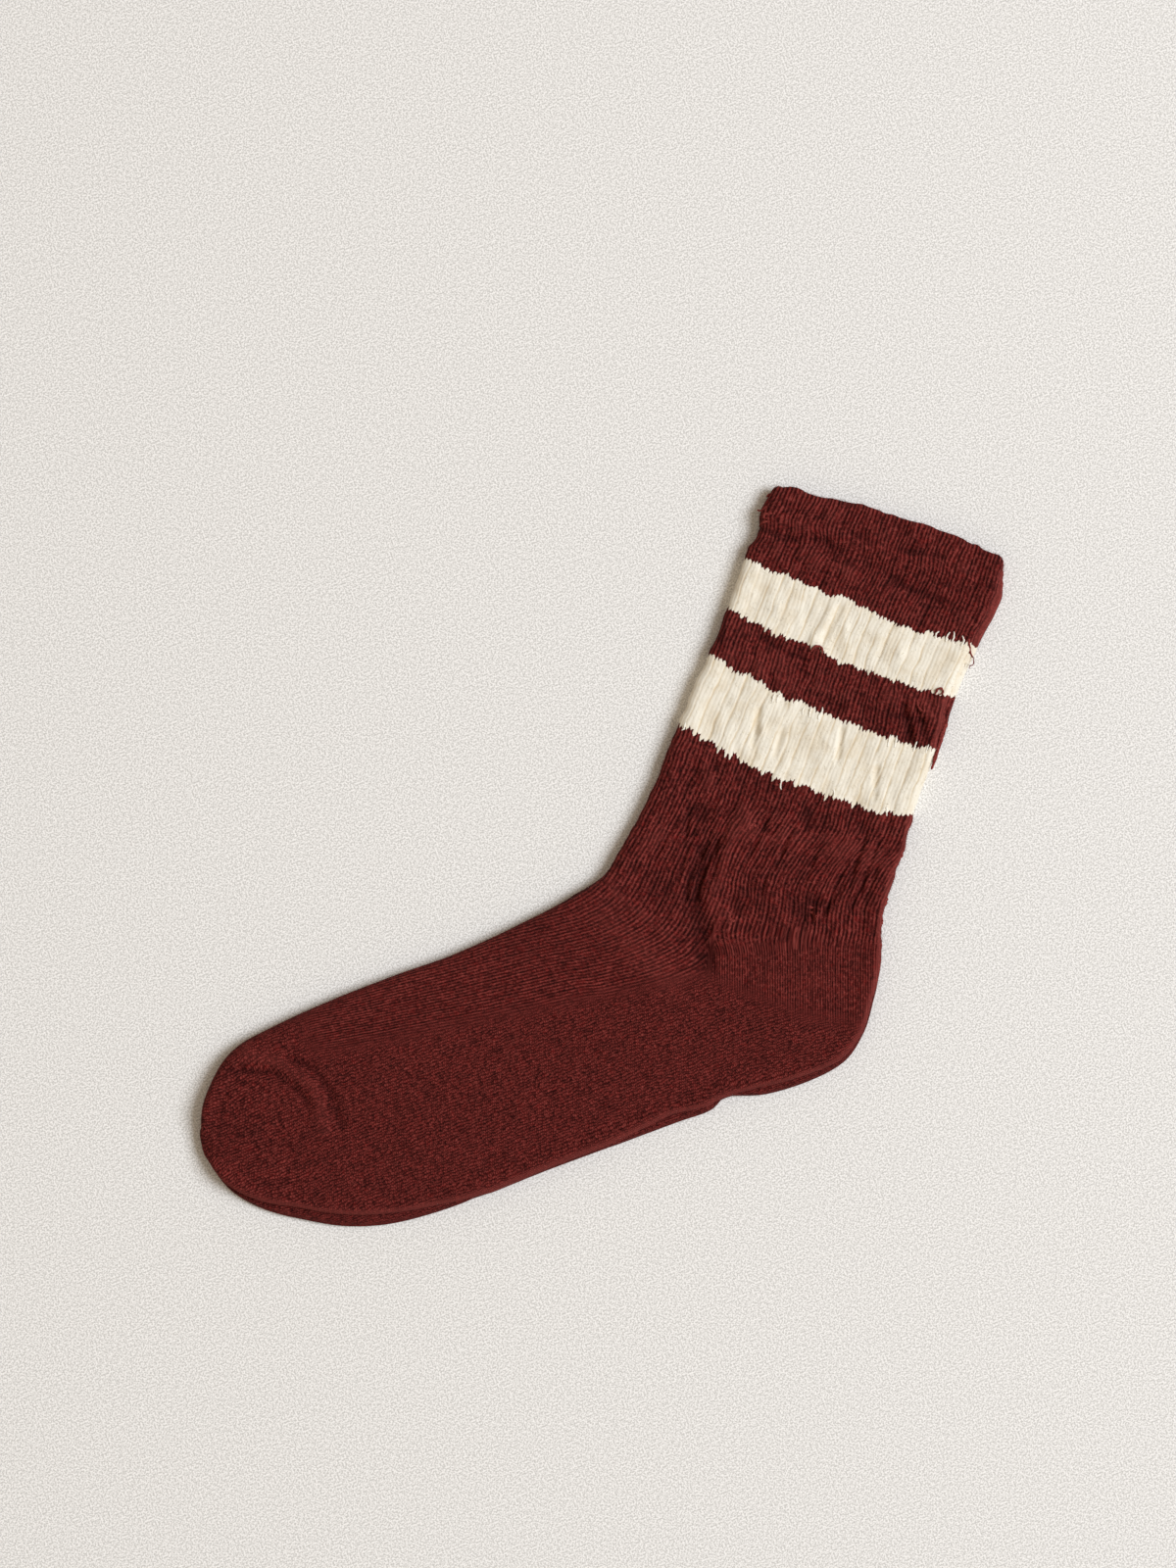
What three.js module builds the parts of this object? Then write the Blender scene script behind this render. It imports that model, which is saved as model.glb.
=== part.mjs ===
// A crew sock lying on its side: one knitted tube, open at the cuff and closed at the toe.
// Millimetres, +Z up. The foot lies along X with its toe at -X, the leg leans away towards +Y,
// and the underside rests on the plane z = 0.
import * as THREE from "three";

// Driving sizes of the knit.
const legWall = 2.6;
const footWall = 3;
const hollow = 0.9;
const leastHollow = 0.3;
const toeFlattening = 0.5;
const weltWidth = 14;
const weltStep = 1;
const edgeBead = 0.7;
const beadReach = 9;

// How finely the tube is divided.
const segmentsAcross = 13;
const segmentsRoundAnEdge = 6;
const ringsAtCuff = 2;
const ringsPerStation = 2;

// Courses of the knit, from the cuff to the toe. front is on the shin and instep edge, back is on
// the calf, heel and sole edge. bow is how far the course swells towards the cuff at mid width,
// and peek how far the lower layer shows past the upper one along the back edge.
const stations = [
  { name: "cuff", front: [98.5, 98.2], back: [167.5, 45], bow: 4.5, peek: 1 },
  { name: "welt end", front: [91, 87.5], back: [160.5, 33.5], bow: 2, peek: 3 },
  { name: "stripe 1 top", front: [83, 80], back: [149, 22.5], bow: -1.5, peek: 2.5 },
  { name: "stripe 1 end", front: [71, 66], back: [135, 8.5], bow: -3, peek: 2.5 },
  { name: "stripe 2 top", front: [58, 52], back: [124, -5.5], bow: -4, peek: 2 },
  { name: "stripe 2 mid", front: [49, 43], back: [114, -15], bow: -4.5, peek: 0 },
  { name: "stripe 2 end", front: [39.5, 33], back: [105.5, -24.5], bow: -4.7, peek: 0 },
  { name: "leg", front: [31, 23.5], back: [99, -35], bow: -4.5, peek: 0 },
  { name: "low leg", front: [22.5, 14.5], back: [91.5, -43], bow: -4, peek: 0 },
  { name: "over ankle", front: [13, 6], back: [83, -54.5], bow: -3, peek: 0 },
  { name: "ankle", front: [5.5, 0.5], back: [78.5, -65], bow: -1.5, peek: 0 },
  { name: "ankle corner", front: [1, -3.5], back: [74, -73.5], bow: 0, peek: 0 },
  { name: "heel back", front: [-2.5, -5.8], back: [69.5, -81], bow: 0, peek: 1 },
  { name: "heel high", front: [-6, -7], back: [62.5, -90], bow: 0, peek: 2 },
  { name: "heel turn", front: [-10, -7.8], back: [52.5, -96.8], bow: 0, peek: 2.5 },
  { name: "heel low", front: [-14.5, -8.5], back: [39, -98.8], bow: 0, peek: 3 },
  { name: "heel under", front: [-20, -9.6], back: [23, -97.8], bow: 0, peek: 3 },
  { name: "heel notch", front: [-26.5, -10.4], back: [8, -94.6], bow: 0, peek: 0.5 },
  { name: "arch back", front: [-34.5, -11.2], back: [-12, -95.4], bow: 0, peek: 1.5 },
  { name: "arch", front: [-46, -12.2], back: [-34, -95.4], bow: 0, peek: 1.5 },
  { name: "mid foot", front: [-63.5, -13], back: [-58, -95.3], bow: 0, peek: 1 },
  { name: "fore foot", front: [-80, -12.5], back: [-78.5, -95.2], bow: 0, peek: 0 },
  { name: "ball", front: [-100.5, -12.4], back: [-99.5, -94.9], bow: 0, peek: 2 },
  { name: "toe start", front: [-115.5, -12.9], back: [-116.5, -92.8], bow: 0, peek: 3.5 },
  { name: "toe", front: [-129.5, -13.9], back: [-131, -88], bow: 0, peek: 4 },
  { name: "toe half", front: [-141.5, -15.4], back: [-144, -80.5], bow: 0, peek: 4 },
  { name: "toe round", front: [-150, -19], back: [-154.5, -73], bow: 0, peek: 3.5 },
  { name: "toe tip", front: [-157.5, -25.5], back: [-161.8, -65], bow: 0, peek: 2.5 },
  { name: "toe close", front: [-162.5, -31.5], back: [-165.6, -57.5], bow: 0, peek: 1.5 },
  { name: "toe end", front: [-165.5, -38], back: [-167.4, -49], bow: 0, peek: 0.5 },
];
const footStarts = stations.findIndex((station) => station.name === "ankle corner");
const footFull = stations.findIndex((station) => station.name === "heel low");
const insideEnds = stations.findIndex((station) => station.name === "toe close");

// The largest folds of the upper layer: each is a run of points, a half width and a rise.
const folds = [
  { name: "front furrow", rise: -1.5, half: 5, run: [[45, 4], [34, -2], [25, -11], [16, -22]] },
  { name: "beside it", rise: 0.8, half: 6, run: [[52, -2], [42, -9], [34, -19], [27, -30]] },
  { name: "low leg band", rise: 0.9, half: 8, run: [[22, 8], [45, -10], [70, -27], [92, -38]] },
  { name: "mid leg furrow", rise: -1, half: 5, run: [[73, -18], [62, -30], [53, -43]] },
  { name: "ankle fan", rise: -0.9, half: 9, run: [[5, -8], [14, -22], [20, -40]] },
  { name: "ankle pad", rise: 0.8, half: 12, run: [[-8, -18], [0, -36], [6, -50]] },
  { name: "heel dome", rise: 0.9, half: 20, run: [[45, -66], [40, -80]] },
  { name: "toe ridge", rise: 0.9, half: 5, run: [[-127, -36], [-117, -45], [-113, -58], [-116, -70]] },
  { name: "band swell", rise: 0.7, half: 7, run: [[66, 49], [90, 32], [112, 15], [127, 2]] },
];

const frontEdge = edgeCurve("front");
const backEdge = edgeCurve("back");

function edgeCurve(side) {
  return new THREE.CatmullRomCurve3(stations.map((station) => new THREE.Vector3(...station[side], 0)));
}

// A curve through the stations is even in its station number, which may be a fraction.
function pointAt(curve, number) {
  return curve.getPoint(number / (stations.length - 1));
}

function valueAt(key, number) {
  const low = Math.min(Math.floor(number), stations.length - 2);
  return THREE.MathUtils.lerp(stations[low][key], stations[low + 1][key], number - low);
}

// One course of the tube, with its line across the sock and its thickness.
function courseAt(number) {
  const front = pointAt(frontEdge, number);
  const back = pointAt(backEdge, number);
  const along = back.clone().sub(front);
  const width = along.length();
  along.normalize();
  const cuffward = new THREE.Vector3(-along.y, along.x, 0);
  const footShare = THREE.MathUtils.smoothstep(number, footStarts, footFull);
  const wall = THREE.MathUtils.lerp(legWall, footWall, footShare);
  const fromCuff = front.distanceTo(pointAt(frontEdge, 0));
  const welt = weltStep * (1 - THREE.MathUtils.smoothstep(fromCuff, weltWidth - 1, weltWidth + 1));
  const closing = THREE.MathUtils.smoothstep(number, insideEnds - 1.5, stations.length - 1);
  return {
    front,
    along,
    cuffward,
    width,
    wall,
    welt,
    height: 2 * wall + hollow * (1 - toeFlattening * closing),
    bow: valueAt("bow", number),
    peek: valueAt("peek", number),
  };
}

function foldRise(x, y) {
  const spot = new THREE.Vector3(x, y, 0);
  const nearest = new THREE.Vector3();
  const total = (sum, fold) => {
    let distance = Infinity;
    for (let leg = 0; leg < fold.run.length - 1; leg += 1) {
      const start = new THREE.Vector3(...fold.run[leg], 0);
      const end = new THREE.Vector3(...fold.run[leg + 1], 0);
      new THREE.Line3(start, end).closestPointToPoint(spot, true, nearest);
      distance = Math.min(distance, nearest.distanceTo(spot));
    }
    return sum + fold.rise * (1 - THREE.MathUtils.smoothstep(distance, 0, fold.half));
  };
  return folds.reduce(total, 0);
}

// A point on a course: reach runs from 0 on the front edge to the width on the back edge.
function spotOn(course, reach, z) {
  const share = reach / course.width;
  const bow = 4 * course.bow * share * (1 - share);
  const spot = course.front.clone().addScaledVector(course.along, reach);
  return spot.addScaledVector(course.cuffward, bow).setZ(z);
}

// How much the upper layer rises over its plain height, the same for its two faces.
function upperRise(course, reach) {
  const spot = spotOn(course, reach, 0);
  const inset = Math.min(reach, course.width - reach);
  const bead = edgeBead * (1 - THREE.MathUtils.smoothstep(inset, beadReach / 2, beadReach));
  const settled = THREE.MathUtils.smoothstep(inset, 0, beadReach);
  return bead + settled * (course.welt + foldRise(spot.x, spot.y));
}

// The closed ring of points round the tube at one course. inset is 0 on the outside and the wall's
// thickness on the inside, where a deep fold thins the upper wall and never closes the hollow.
function ringAt(course, inset) {
  const radius = course.height / 2;
  const corner = radius - inset;
  const left = radius;
  const right = course.width - radius;
  const ring = [];
  for (let step = 0; step < segmentsAcross; step += 1) {
    const reach = THREE.MathUtils.lerp(left, right - course.peek, step / segmentsAcross);
    const z = course.height - inset + upperRise(course, reach);
    ring.push(spotOn(course, reach, Math.max(z, inset + leastHollow)));
  }
  for (let step = 0; step < segmentsRoundAnEdge; step += 1) {
    const turn = (Math.PI * step) / segmentsRoundAnEdge;
    const peek = course.peek * (1 - THREE.MathUtils.smoothstep(turn, Math.PI * 0.3, Math.PI * 0.6));
    const reach = right - peek + corner * Math.sin(turn);
    const lift = upperRise(course, right - course.peek) * (0.5 + 0.5 * Math.cos(turn));
    ring.push(spotOn(course, reach, radius + corner * Math.cos(turn) + lift));
  }
  for (let step = 0; step < segmentsAcross; step += 1) {
    const reach = THREE.MathUtils.lerp(right, left, step / segmentsAcross);
    ring.push(spotOn(course, reach, inset));
  }
  for (let step = 0; step < segmentsRoundAnEdge; step += 1) {
    const turn = (Math.PI * step) / segmentsRoundAnEdge;
    const reach = left - corner * Math.sin(turn);
    const lift = upperRise(course, left) * (0.5 - 0.5 * Math.cos(turn));
    ring.push(spotOn(course, reach, radius - corner * Math.cos(turn) + lift));
  }
  return ring;
}

// Where the rings stand: closer together at the cuff, where the welt ends in a step.
function ringNumbers(last) {
  const numbers = [];
  for (let station = 0; station < last; station += 1) {
    const rings = station < ringsAtCuff ? 2 * ringsPerStation : ringsPerStation;
    for (let ring = 0; ring < rings; ring += 1) {
      numbers.push(station + ring / rings);
    }
  }
  numbers.push(last);
  return numbers;
}

// The rim is one ring halfway between the two faces, a little past the first course.
function rimRing(outerRing, innerRing, course) {
  return outerRing.map((spot, index) =>
    spot.clone().lerp(innerRing[index], 0.5).addScaledVector(course.cuffward, 0.8));
}

function middleOf(ring) {
  const middle = new THREE.Vector3();
  ring.forEach((spot) => middle.add(spot));
  return middle.divideScalar(ring.length);
}

// The skin of the wall: up the inside from the toe, over the rim, and down the outside to the toe.
function wallGeometry() {
  const outside = ringNumbers(stations.length - 1).map((number) => ringAt(courseAt(number), 0));
  const inside = ringNumbers(insideEnds).map((number) => {
    const course = courseAt(number);
    return ringAt(course, course.wall);
  });
  const rim = rimRing(outside[0], inside[0], courseAt(0));
  const rings = [...inside.reverse(), rim, ...outside];
  const around = rings[0].length;
  const spots = rings.flat();
  const faces = [];
  for (let row = 0; row < rings.length - 1; row += 1) {
    for (let column = 0; column < around; column += 1) {
      const next = (column + 1) % around;
      const here = row * around;
      const after = here + around;
      faces.push(here + column, after + column, here + next);
      faces.push(here + next, after + column, after + next);
    }
  }
  const innerTip = spots.push(middleOf(rings[0])) - 1;
  const outerTip = spots.push(middleOf(rings.at(-1))) - 1;
  const lastRing = (rings.length - 1) * around;
  for (let column = 0; column < around; column += 1) {
    const next = (column + 1) % around;
    faces.push(innerTip, column, next);
    faces.push(outerTip, lastRing + next, lastRing + column);
  }
  const geometry = new THREE.BufferGeometry().setFromPoints(spots);
  geometry.setIndex(faces);
  geometry.computeVertexNormals();
  return geometry;
}

const burgundyYarn = new THREE.MeshStandardMaterial({
  color: new THREE.Color(0.105, 0.014, 0.016),
  roughness: 0.95,
  metalness: 0,
});

const sock = new THREE.Mesh(wallGeometry(), burgundyYarn);
sock.name = "sock";

const model = new THREE.Group();
model.add(sock);

export default model;
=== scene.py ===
import math

import bpy
import numpy as np
from mathutils import Matrix, Vector
from mathutils.bvhtree import BVHTree


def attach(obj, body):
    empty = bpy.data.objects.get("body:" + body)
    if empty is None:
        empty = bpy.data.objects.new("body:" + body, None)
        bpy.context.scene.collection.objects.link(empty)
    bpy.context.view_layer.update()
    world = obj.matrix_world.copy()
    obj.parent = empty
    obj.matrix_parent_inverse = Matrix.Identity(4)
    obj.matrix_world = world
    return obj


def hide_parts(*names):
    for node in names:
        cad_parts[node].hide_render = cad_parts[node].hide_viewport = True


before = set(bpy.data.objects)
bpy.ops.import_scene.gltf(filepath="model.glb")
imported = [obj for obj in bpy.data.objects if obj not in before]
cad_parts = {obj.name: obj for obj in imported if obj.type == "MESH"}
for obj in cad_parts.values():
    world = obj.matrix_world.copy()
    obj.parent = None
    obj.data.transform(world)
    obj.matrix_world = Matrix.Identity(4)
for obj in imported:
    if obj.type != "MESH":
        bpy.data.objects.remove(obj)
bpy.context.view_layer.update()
mm = 0.001  # everything below is written in millimetres and scaled once, when a mesh is made

sock = {
    "wales": 126,             # columns of stitches that show all round, so 63 on each side
    "walesPerRib": 3,         # a three by one rib: the fourth needle is hidden in the furrow
    "upperColumnsPerWale": 4,  # points made across each column of the upper layer
    "foldWales": 5,           # this many columns under the back fold are made as fine as the top
    "rowSpacing": 1.42,       # between rows of points outside
    "insideSpacing": 3.6,     # and inside
    "insideWales": 1.5,       # columns of stitches to a point inside
    "legWall": 2.6,
    "footWall": 3.0,          # terry, so thicker than the leg
    "hollow": 0.9,            # between the two layers
    "weltWidth": 14.0,        # the doubled edge of the cuff
    "weltStep": 0.55,         # how far it stands above the leg
    "cuffRoll": 1.3,          # how far its turned edge bulges past the last course
    "edgeBead": 0.7,          # the folded edges lie this much higher than the middle
    "beadReach": 9.0,         # and this far in
    "waleRise": 0.05,         # a single column of stitches above the valleys beside it
    "furrowDepth": 0.26,      # the gap between two ribs where it is wide open
    "legLump": 0.30,          # soft lumps of the leg, of the foot and of single stitches
    "footLump": 0.10,
    "fineLump": 0.26,
    "wander": 0.6,            # how far the ribs of the leg stray sideways
    "waviness": 0.9,          # how far its courses stray along the leg
    "stray": 0.26,            # and how far single columns do, in columns
    "edgeLump": 0.72,         # how far the folded edges of the leg stray in and out
    "scallop": 0.42,          # the ribs' ends along the cuff
    "toePush": 0.9,           # how far the toe bulges past its last course
    "settledEdge": 0.45,      # below 1, the lower half of a fold lies closer to the floor
    "stripPaintedLight": 1.3,         # painted highlight: the strip of the lower layer beside the cuff is painted lighter than other edges
    "broadSwell": 13.0,       # folds wider than this get no painted shade or light in the yarn's colour
    "pucker": 0.55,           # loops drawn up in rows across the leg, between the stripes and below
    "legTwist": 6.0,          # so many columns come round from behind between the stripes and ankle
    "cuffNotch": (5.0, 1.7, 1.0),   # where the back edge dips under the cuff, how deep and how long
}

# Behind the ankle the columns run straight down into the heel: the direction across them, a point
# on the calf edge, the column there, the width of one and the courses of knit counted to it.
heelColumns = {
    "across": (0.934, -0.358),
    "from": (82.0, -57.0),
    "wale": 69.0,
    "width": 1.40,
    "knit": 133.0,
    "edge": [(31, -24), (27, -35), (18, -53), (8, -66)],   # the valley they meet the instep in
    "fade": 12.0,
    "finer": 1.6,             # the stitches drawn there, in columns to a column
    "stitch": 0.8,            # and the length of each
}

# Courses from the cuff to the toe. Front is the shin and instep edge and back the calf, heel and
# sole edge. Bow is the swell towards the cuff, peek is how far the lower layer shows past the
# upper one, knit counts millimetres of knitting from the cuff. Side is the share of the width that
# the front half of the needles takes on the upper layer, and turn is the column that lies on the
# front edge, because the foot is twisted a little round its length.
courseKeys = ("frontX", "frontY", "backX", "backY", "bow", "peek", "knit", "side", "turn")
courses = {
    "cuff":         (99.6, 98.3, 167.3, 45.4, 3.4, 0.6, 0, 0.5, 0),
    "welt":         (93.2, 92.4, 164.2, 38.8, 2.9, 2.4, 7.5, 0.5, 0),
    "weltEnd":      (91.0, 87.5, 161.0, 33.3, 2.0, 3.4, 14, 0.5, 0),
    "stripe1Top":   (83.0, 80.0, 149.0, 22.5, -1.5, 2.5, 30, 0.5, 0),
    "stripe1End":   (71.0, 66.0, 135.0, 8.5, -3.0, 2.5, 50, 0.5, 0),
    "stripe2Top":   (58.0, 52.0, 124.0, -5.5, -4.0, 2.0, 69.5, 0.5, 0),
    "stripe2Mid":   (49.0, 43.0, 114.0, -15.0, -4.5, 0.0, 82.5, 0.5, 0),
    "stripe2End":   (39.5, 33.0, 105.5, -24.5, -4.7, 0.0, 95.5, 0.5, 0),
    "leg":          (31.0, 23.5, 99.0, -35.0, -4.5, 0.0, 107, 0.5, 0),
    "lowLeg":       (22.5, 14.5, 91.5, -43.0, -4.0, 0.0, 118, 0.5, 0),
    "overAnkle":    (13.0, 6.0, 83.0, -54.5, -3.0, 0.0, 130, 0.5, 0),
    "ankle":        (5.5, 0.5, 78.5, -65.0, -1.5, 0.0, 140, 0.5, 0),
    "ankleCorner":  (1.0, -3.5, 74.0, -73.5, 0.0, 0.0, 147, 0.5, 0),
    "heelBack":     (-2.5, -5.8, 69.5, -81.0, 0.0, 1.0, 153, 0.5, -0.3),
    "heelHigh":     (-6.0, -7.0, 62.5, -90.0, 0.0, 0.9, 159, 0.5, -0.75),
    "heelTurn":     (-10.0, -7.8, 52.5, -96.8, 0.0, 1.7, 165, 0.5, -1.2),
    "heelLow":      (-14.5, -8.5, 39.0, -98.8, 0.0, 3.2, 172, 0.5, -1.5),
    "heelUnder":    (-20.0, -9.6, 23.0, -97.8, 0.0, 4.0, 181, 0.498, -1.2),
    "heelNotch":    (-26.5, -10.4, 10.0, -93.9, 0.0, 0.4, 192, 0.487, 0),
    "archEdge":     (-30.0, -10.8, 2.0, -96.1, 0.0, 2.4, 198, 0.466, 0.6),
    "archBack":     (-34.5, -11.2, -10.0, -95.8, 0.0, 3.8, 206, 0.445, 1.2),
    "arch":         (-46.0, -12.2, -34.0, -95.5, 0.0, 1.2, 223, 0.40, 3.3),
    "midFoot":      (-63.5, -13.0, -58.0, -95.3, 0.0, 1.0, 244, 0.35, 5.1),
    "foreFoot":     (-80.0, -12.5, -78.5, -95.2, 0.0, 0.0, 263, 0.312, 6.3),
    "ball":         (-100.5, -12.4, -99.5, -94.9, 0.0, 2.8, 284, 0.268, 8.1),
    "toeStart":     (-115.5, -12.9, -116.5, -92.8, 0.0, 4.4, 300, 0.234, 11.1),
    "toe":          (-129.5, -13.9, -131.0, -88.0, 0.0, 5.0, 315, 0.21, 12.9),
    "toeHalf":      (-141.5, -15.4, -144.0, -80.5, 0.0, 5.0, 328, 0.21, 13.5),
    "toeRound":     (-150.0, -19.0, -154.5, -73.0, 0.0, 3.5, 338, 0.21, 13.5),
    "toeTip":       (-157.5, -25.5, -161.8, -65.0, 0.0, 2.5, 347, 0.21, 13.5),
    "toeClose":     (-162.5, -31.5, -165.6, -57.5, 0.0, 1.5, 353, 0.21, 13.5),
    "toeEnd":       (-165.5, -38.0, -167.4, -49.0, 0.0, 0.5, 357, 0.21, 13.5),
}
courseOrder = list(courses)

# Folds and dents of the upper layer: rise, half width and the points they run through.
folds = {
    "besideTheFurrow": (0.8, 6.0, [(52, -2), (42, -9), (34, -19), (27, -30)]),
    "frontFurrow": (-0.9, 5.5, [(37, 2), (34.6, -7), (25, -21), (23, -33), (19, -48)]),
    "furrowLine1": (-1.4, 1.5, [(35.5, -8.3), (29.3, -13.1), (23.3, -19.3), (20.8, -24.1)]),
    "furrowLine2": (-1.5, 1.6, [(38, -9), (36.4, -11.5), (30.9, -16.5), (26.1, -21.8), (24.5, -25)]),
    "furrowLine3": (-0.9, 1.1, [(40.5, -6), (35.5, -14.5), (30.5, -21)]),
    "furrowLine4": (-0.8, 1.1, [(33, -2), (27.5, -8.5), (20.5, -16.5)]),
    "secondFurrow": (-0.7, 1.8, [(43, -5), (39, -11), (33, -20)]),
    "furrowHead": (-0.9, 1.5, [(33, 5), (30.7, 0), (27.7, -5)]),
    "shinFurrow": (-0.8, 1.4, [(47, 16), (45, 6), (40, 2)]),
    "shinFurrow2": (-0.7, 1.3, [(32, -4), (31.5, -13), (27, -18)]),
    "lowLegBand": (0.8, 8.0, [(8, 0), (29, -2.5), (49, -9), (70, -23), (90, -37)]),
    "calfLine1": (-0.9, 1.2, [(82.3, -37.7), (73.6, -47.3), (69.2, -51.3)]),
    "calfLine2": (-0.9, 1.2, [(90.5, -29.4), (83, -38), (78.7, -43.5)]),
    "calfLine3": (-0.8, 1.1, [(78.1, -31.8), (68.8, -41.1), (63.9, -46.4)]),
    "calfLine4": (-0.6, 1.1, [(69.1, -25.5), (60.9, -33.8), (54.2, -39.9)]),
    "shinLine1": (-0.8, 1.2, [(57.2, -8), (50, -15.3), (45, -19.1)]),
    "shinLine2": (-0.8, 1.2, [(28.4, 3.1), (21.1, -2.7), (16.1, -6.5)]),
    "shinLine3": (-0.8, 1.4, [(13.5, 1.6), (6.5, -1.5), (3.2, -4.5)]),
    "shinLine4": (-0.6, 1.1, [(63.8, -14.8), (57.8, -21.1)]),
    "snagFurrow": (-1.3, 1.3, [(61.1, -42.5), (59.2, -47.5)]),
    "ankleRib": (0.6, 2.2, [(33.6, -31.9), (27.9, -35.5), (23, -40.8)]),
    "calfFurrow1": (-0.9, 1.4, [(61, -17), (57, -22), (49, -27), (45.5, -32)]),
    "calfFurrow2": (-0.9, 1.4, [(82, -31), (78, -36), (69, -42), (61, -48)]),
    "calfFurrow3": (-0.8, 1.3, [(88, -25), (79, -36), (73.5, -44)]),
    "calfFurrow4": (-0.7, 1.3, [(87, -38), (79.5, -46)]),
    "midLegHollow": (-0.5, 9.0, [(73, -10), (66, -24), (56, -36)]),
    "ankleFan": (-0.6, 9.0, [(12, -14), (19, -24), (20, -42)]),
    "anklePad": (0.7, 12.0, [(-8, -18), (0, -36), (6, -50)]),
    "cornerRidge": (0.7, 3.2, [(-2, -8), (0, -16), (6, -26), (11, -35)]),
    "cornerDent": (-0.7, 3.0, [(9, 1), (8, -8)]),
    "archValley": (-0.5, 14.0, [(-84, -47), (-61, -45.5), (-38, -44.5), (-12, -46), (17, -52)]),
    "solePad": (0.6, 17.0, [(-95, -72), (-40, -72), (10, -72)]),
    "instepDip": (-0.4, 9.0, [(-44, -18), (-30, -15)]),
    "heelDome": (0.9, 20.0, [(45, -66), (40, -80)]),
    "heelGore": (-0.35, 1.6, [(18, -53.5), (27.5, -64), (38, -73), (45, -80), (57, -87)]),
    "toeRidge": (0.9, 4.4, [(-141, -19), (-129, -28.5), (-124, -38.5), (-124, -45.5), (-126, -54)]),
    "toeGroove": (-1.2, 2.2, [(-128.5, -26), (-121.5, -32), (-118.8, -41), (-119, -55)]),
    "toeSeam": (-1.0, 1.7, [(-150, -22), (-136, -28), (-131, -34.5), (-127.5, -42)]),
    "toeHollow": (-0.5, 9.0, [(-157, -40), (-146, -48), (-136, -58)]),
    "bandSwell": (0.6, 7.0, [(66, 49), (90, 32), (112, 15), (127, 2)]),
    "weltCrease": (-1.3, 2.1, [(91.4, 87.4), (100, 80), (107, 77.5), (112, 75.4)]),
    "cuffCrease": (-1.4, 2.2, [(121, 63), (126.3, 58.5), (129.5, 53), (132, 49.4), (139, 44.3), (144, 39)]),
    "cuffCrease2": (-1.1, 1.9, [(118, 79), (122, 73), (126, 72)]),
    "cuffCrease3": (-1.2, 2.0, [(131, 66), (139, 60), (147, 56)]),
    "bandCrease": (-1.2, 1.8, [(105, 16), (113, 9), (121, 4)]),
    "bandCrease2": (-0.9, 1.6, [(78, 52), (84, 44), (92, 39)]),
    "underWelt": (0.6, 4.0, [(94, 79), (106, 70), (118, 60)]),
    "creamFold": (0.6, 2.6, [(105, 53), (95, 44)]),
    "creamFoldSide": (-0.6, 2.0, [(108, 52), (98.5, 43.5)]),
    "creamPucker1": (-0.9, 2.0, [(68.5, 29), (65, 23), (62, 18)]),
    "creamPucker2": (-0.8, 1.8, [(73.5, 19), (68, 12)]),
    "creamPucker3": (-1.0, 1.8, [(93, 12), (88, 3)]),
    "creamPucker4": (-0.9, 2.0, [(99.5, -5), (95, -14)]),
    "bandFurrow1": (-0.8, 2.2, [(69, 63), (65, 56)]),
    "bandFurrow2": (-0.7, 2.2, [(89, 41), (86.5, 35)]),
    "bandFurrow3": (-1.4, 2.2, [(116, 12), (114, 0)]),
    "bandFurrow4": (-1.2, 2.0, [(120, 9), (119, -2)]),
}

# How strongly the leg is puckered: millimetres of knit from the cuff, and the share.
puckers = [
    (0, 0.3), (3, 0.8), (26, 0.8),       # cuff
    (31, 0.3), (49, 0.25),               # upper stripe
    (52, 1.0), (67, 1.0),                # the band between the stripes
    (71, 0.3), (92, 0.2),                # lower stripe
    (97, 0.9), (112, 0.8), (128, 0.25),  # from the stripe to the ankle
]

# Bumps of the cuff's own edge: how far out, at which share of the width, and how wide.
cuffBumps = [(1.3, 0.08, 0.06), (0.6, 0.37, 0.03), (-1.3, 1.0, 0.022)]

# How uneven the knit is: columns and millimetres of knit in one wave, and a seed.
waves = {
    "column": (2.7, 4.6, 18),
    "fineColumn": (1.35, 2.8, 19),
    "rib": (9.0, 14.0, 11),
    "fineRib": (3.8, 7.0, 12),
    "course": (6.8, 30.0, 13),
    "fineCourse": (2.4, 16.0, 14),
    "swell": (13.0, 26.0, 23),
    "lump": (4.8, 11.0, 21),
    "smallLump": (2.0, 6.5, 22),
    "fineLump": (1.9, 3.6, 24),
    "pucker": (4.4, 2.7, 41),
    "finePucker": (2.1, 1.9, 42),
}

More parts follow.
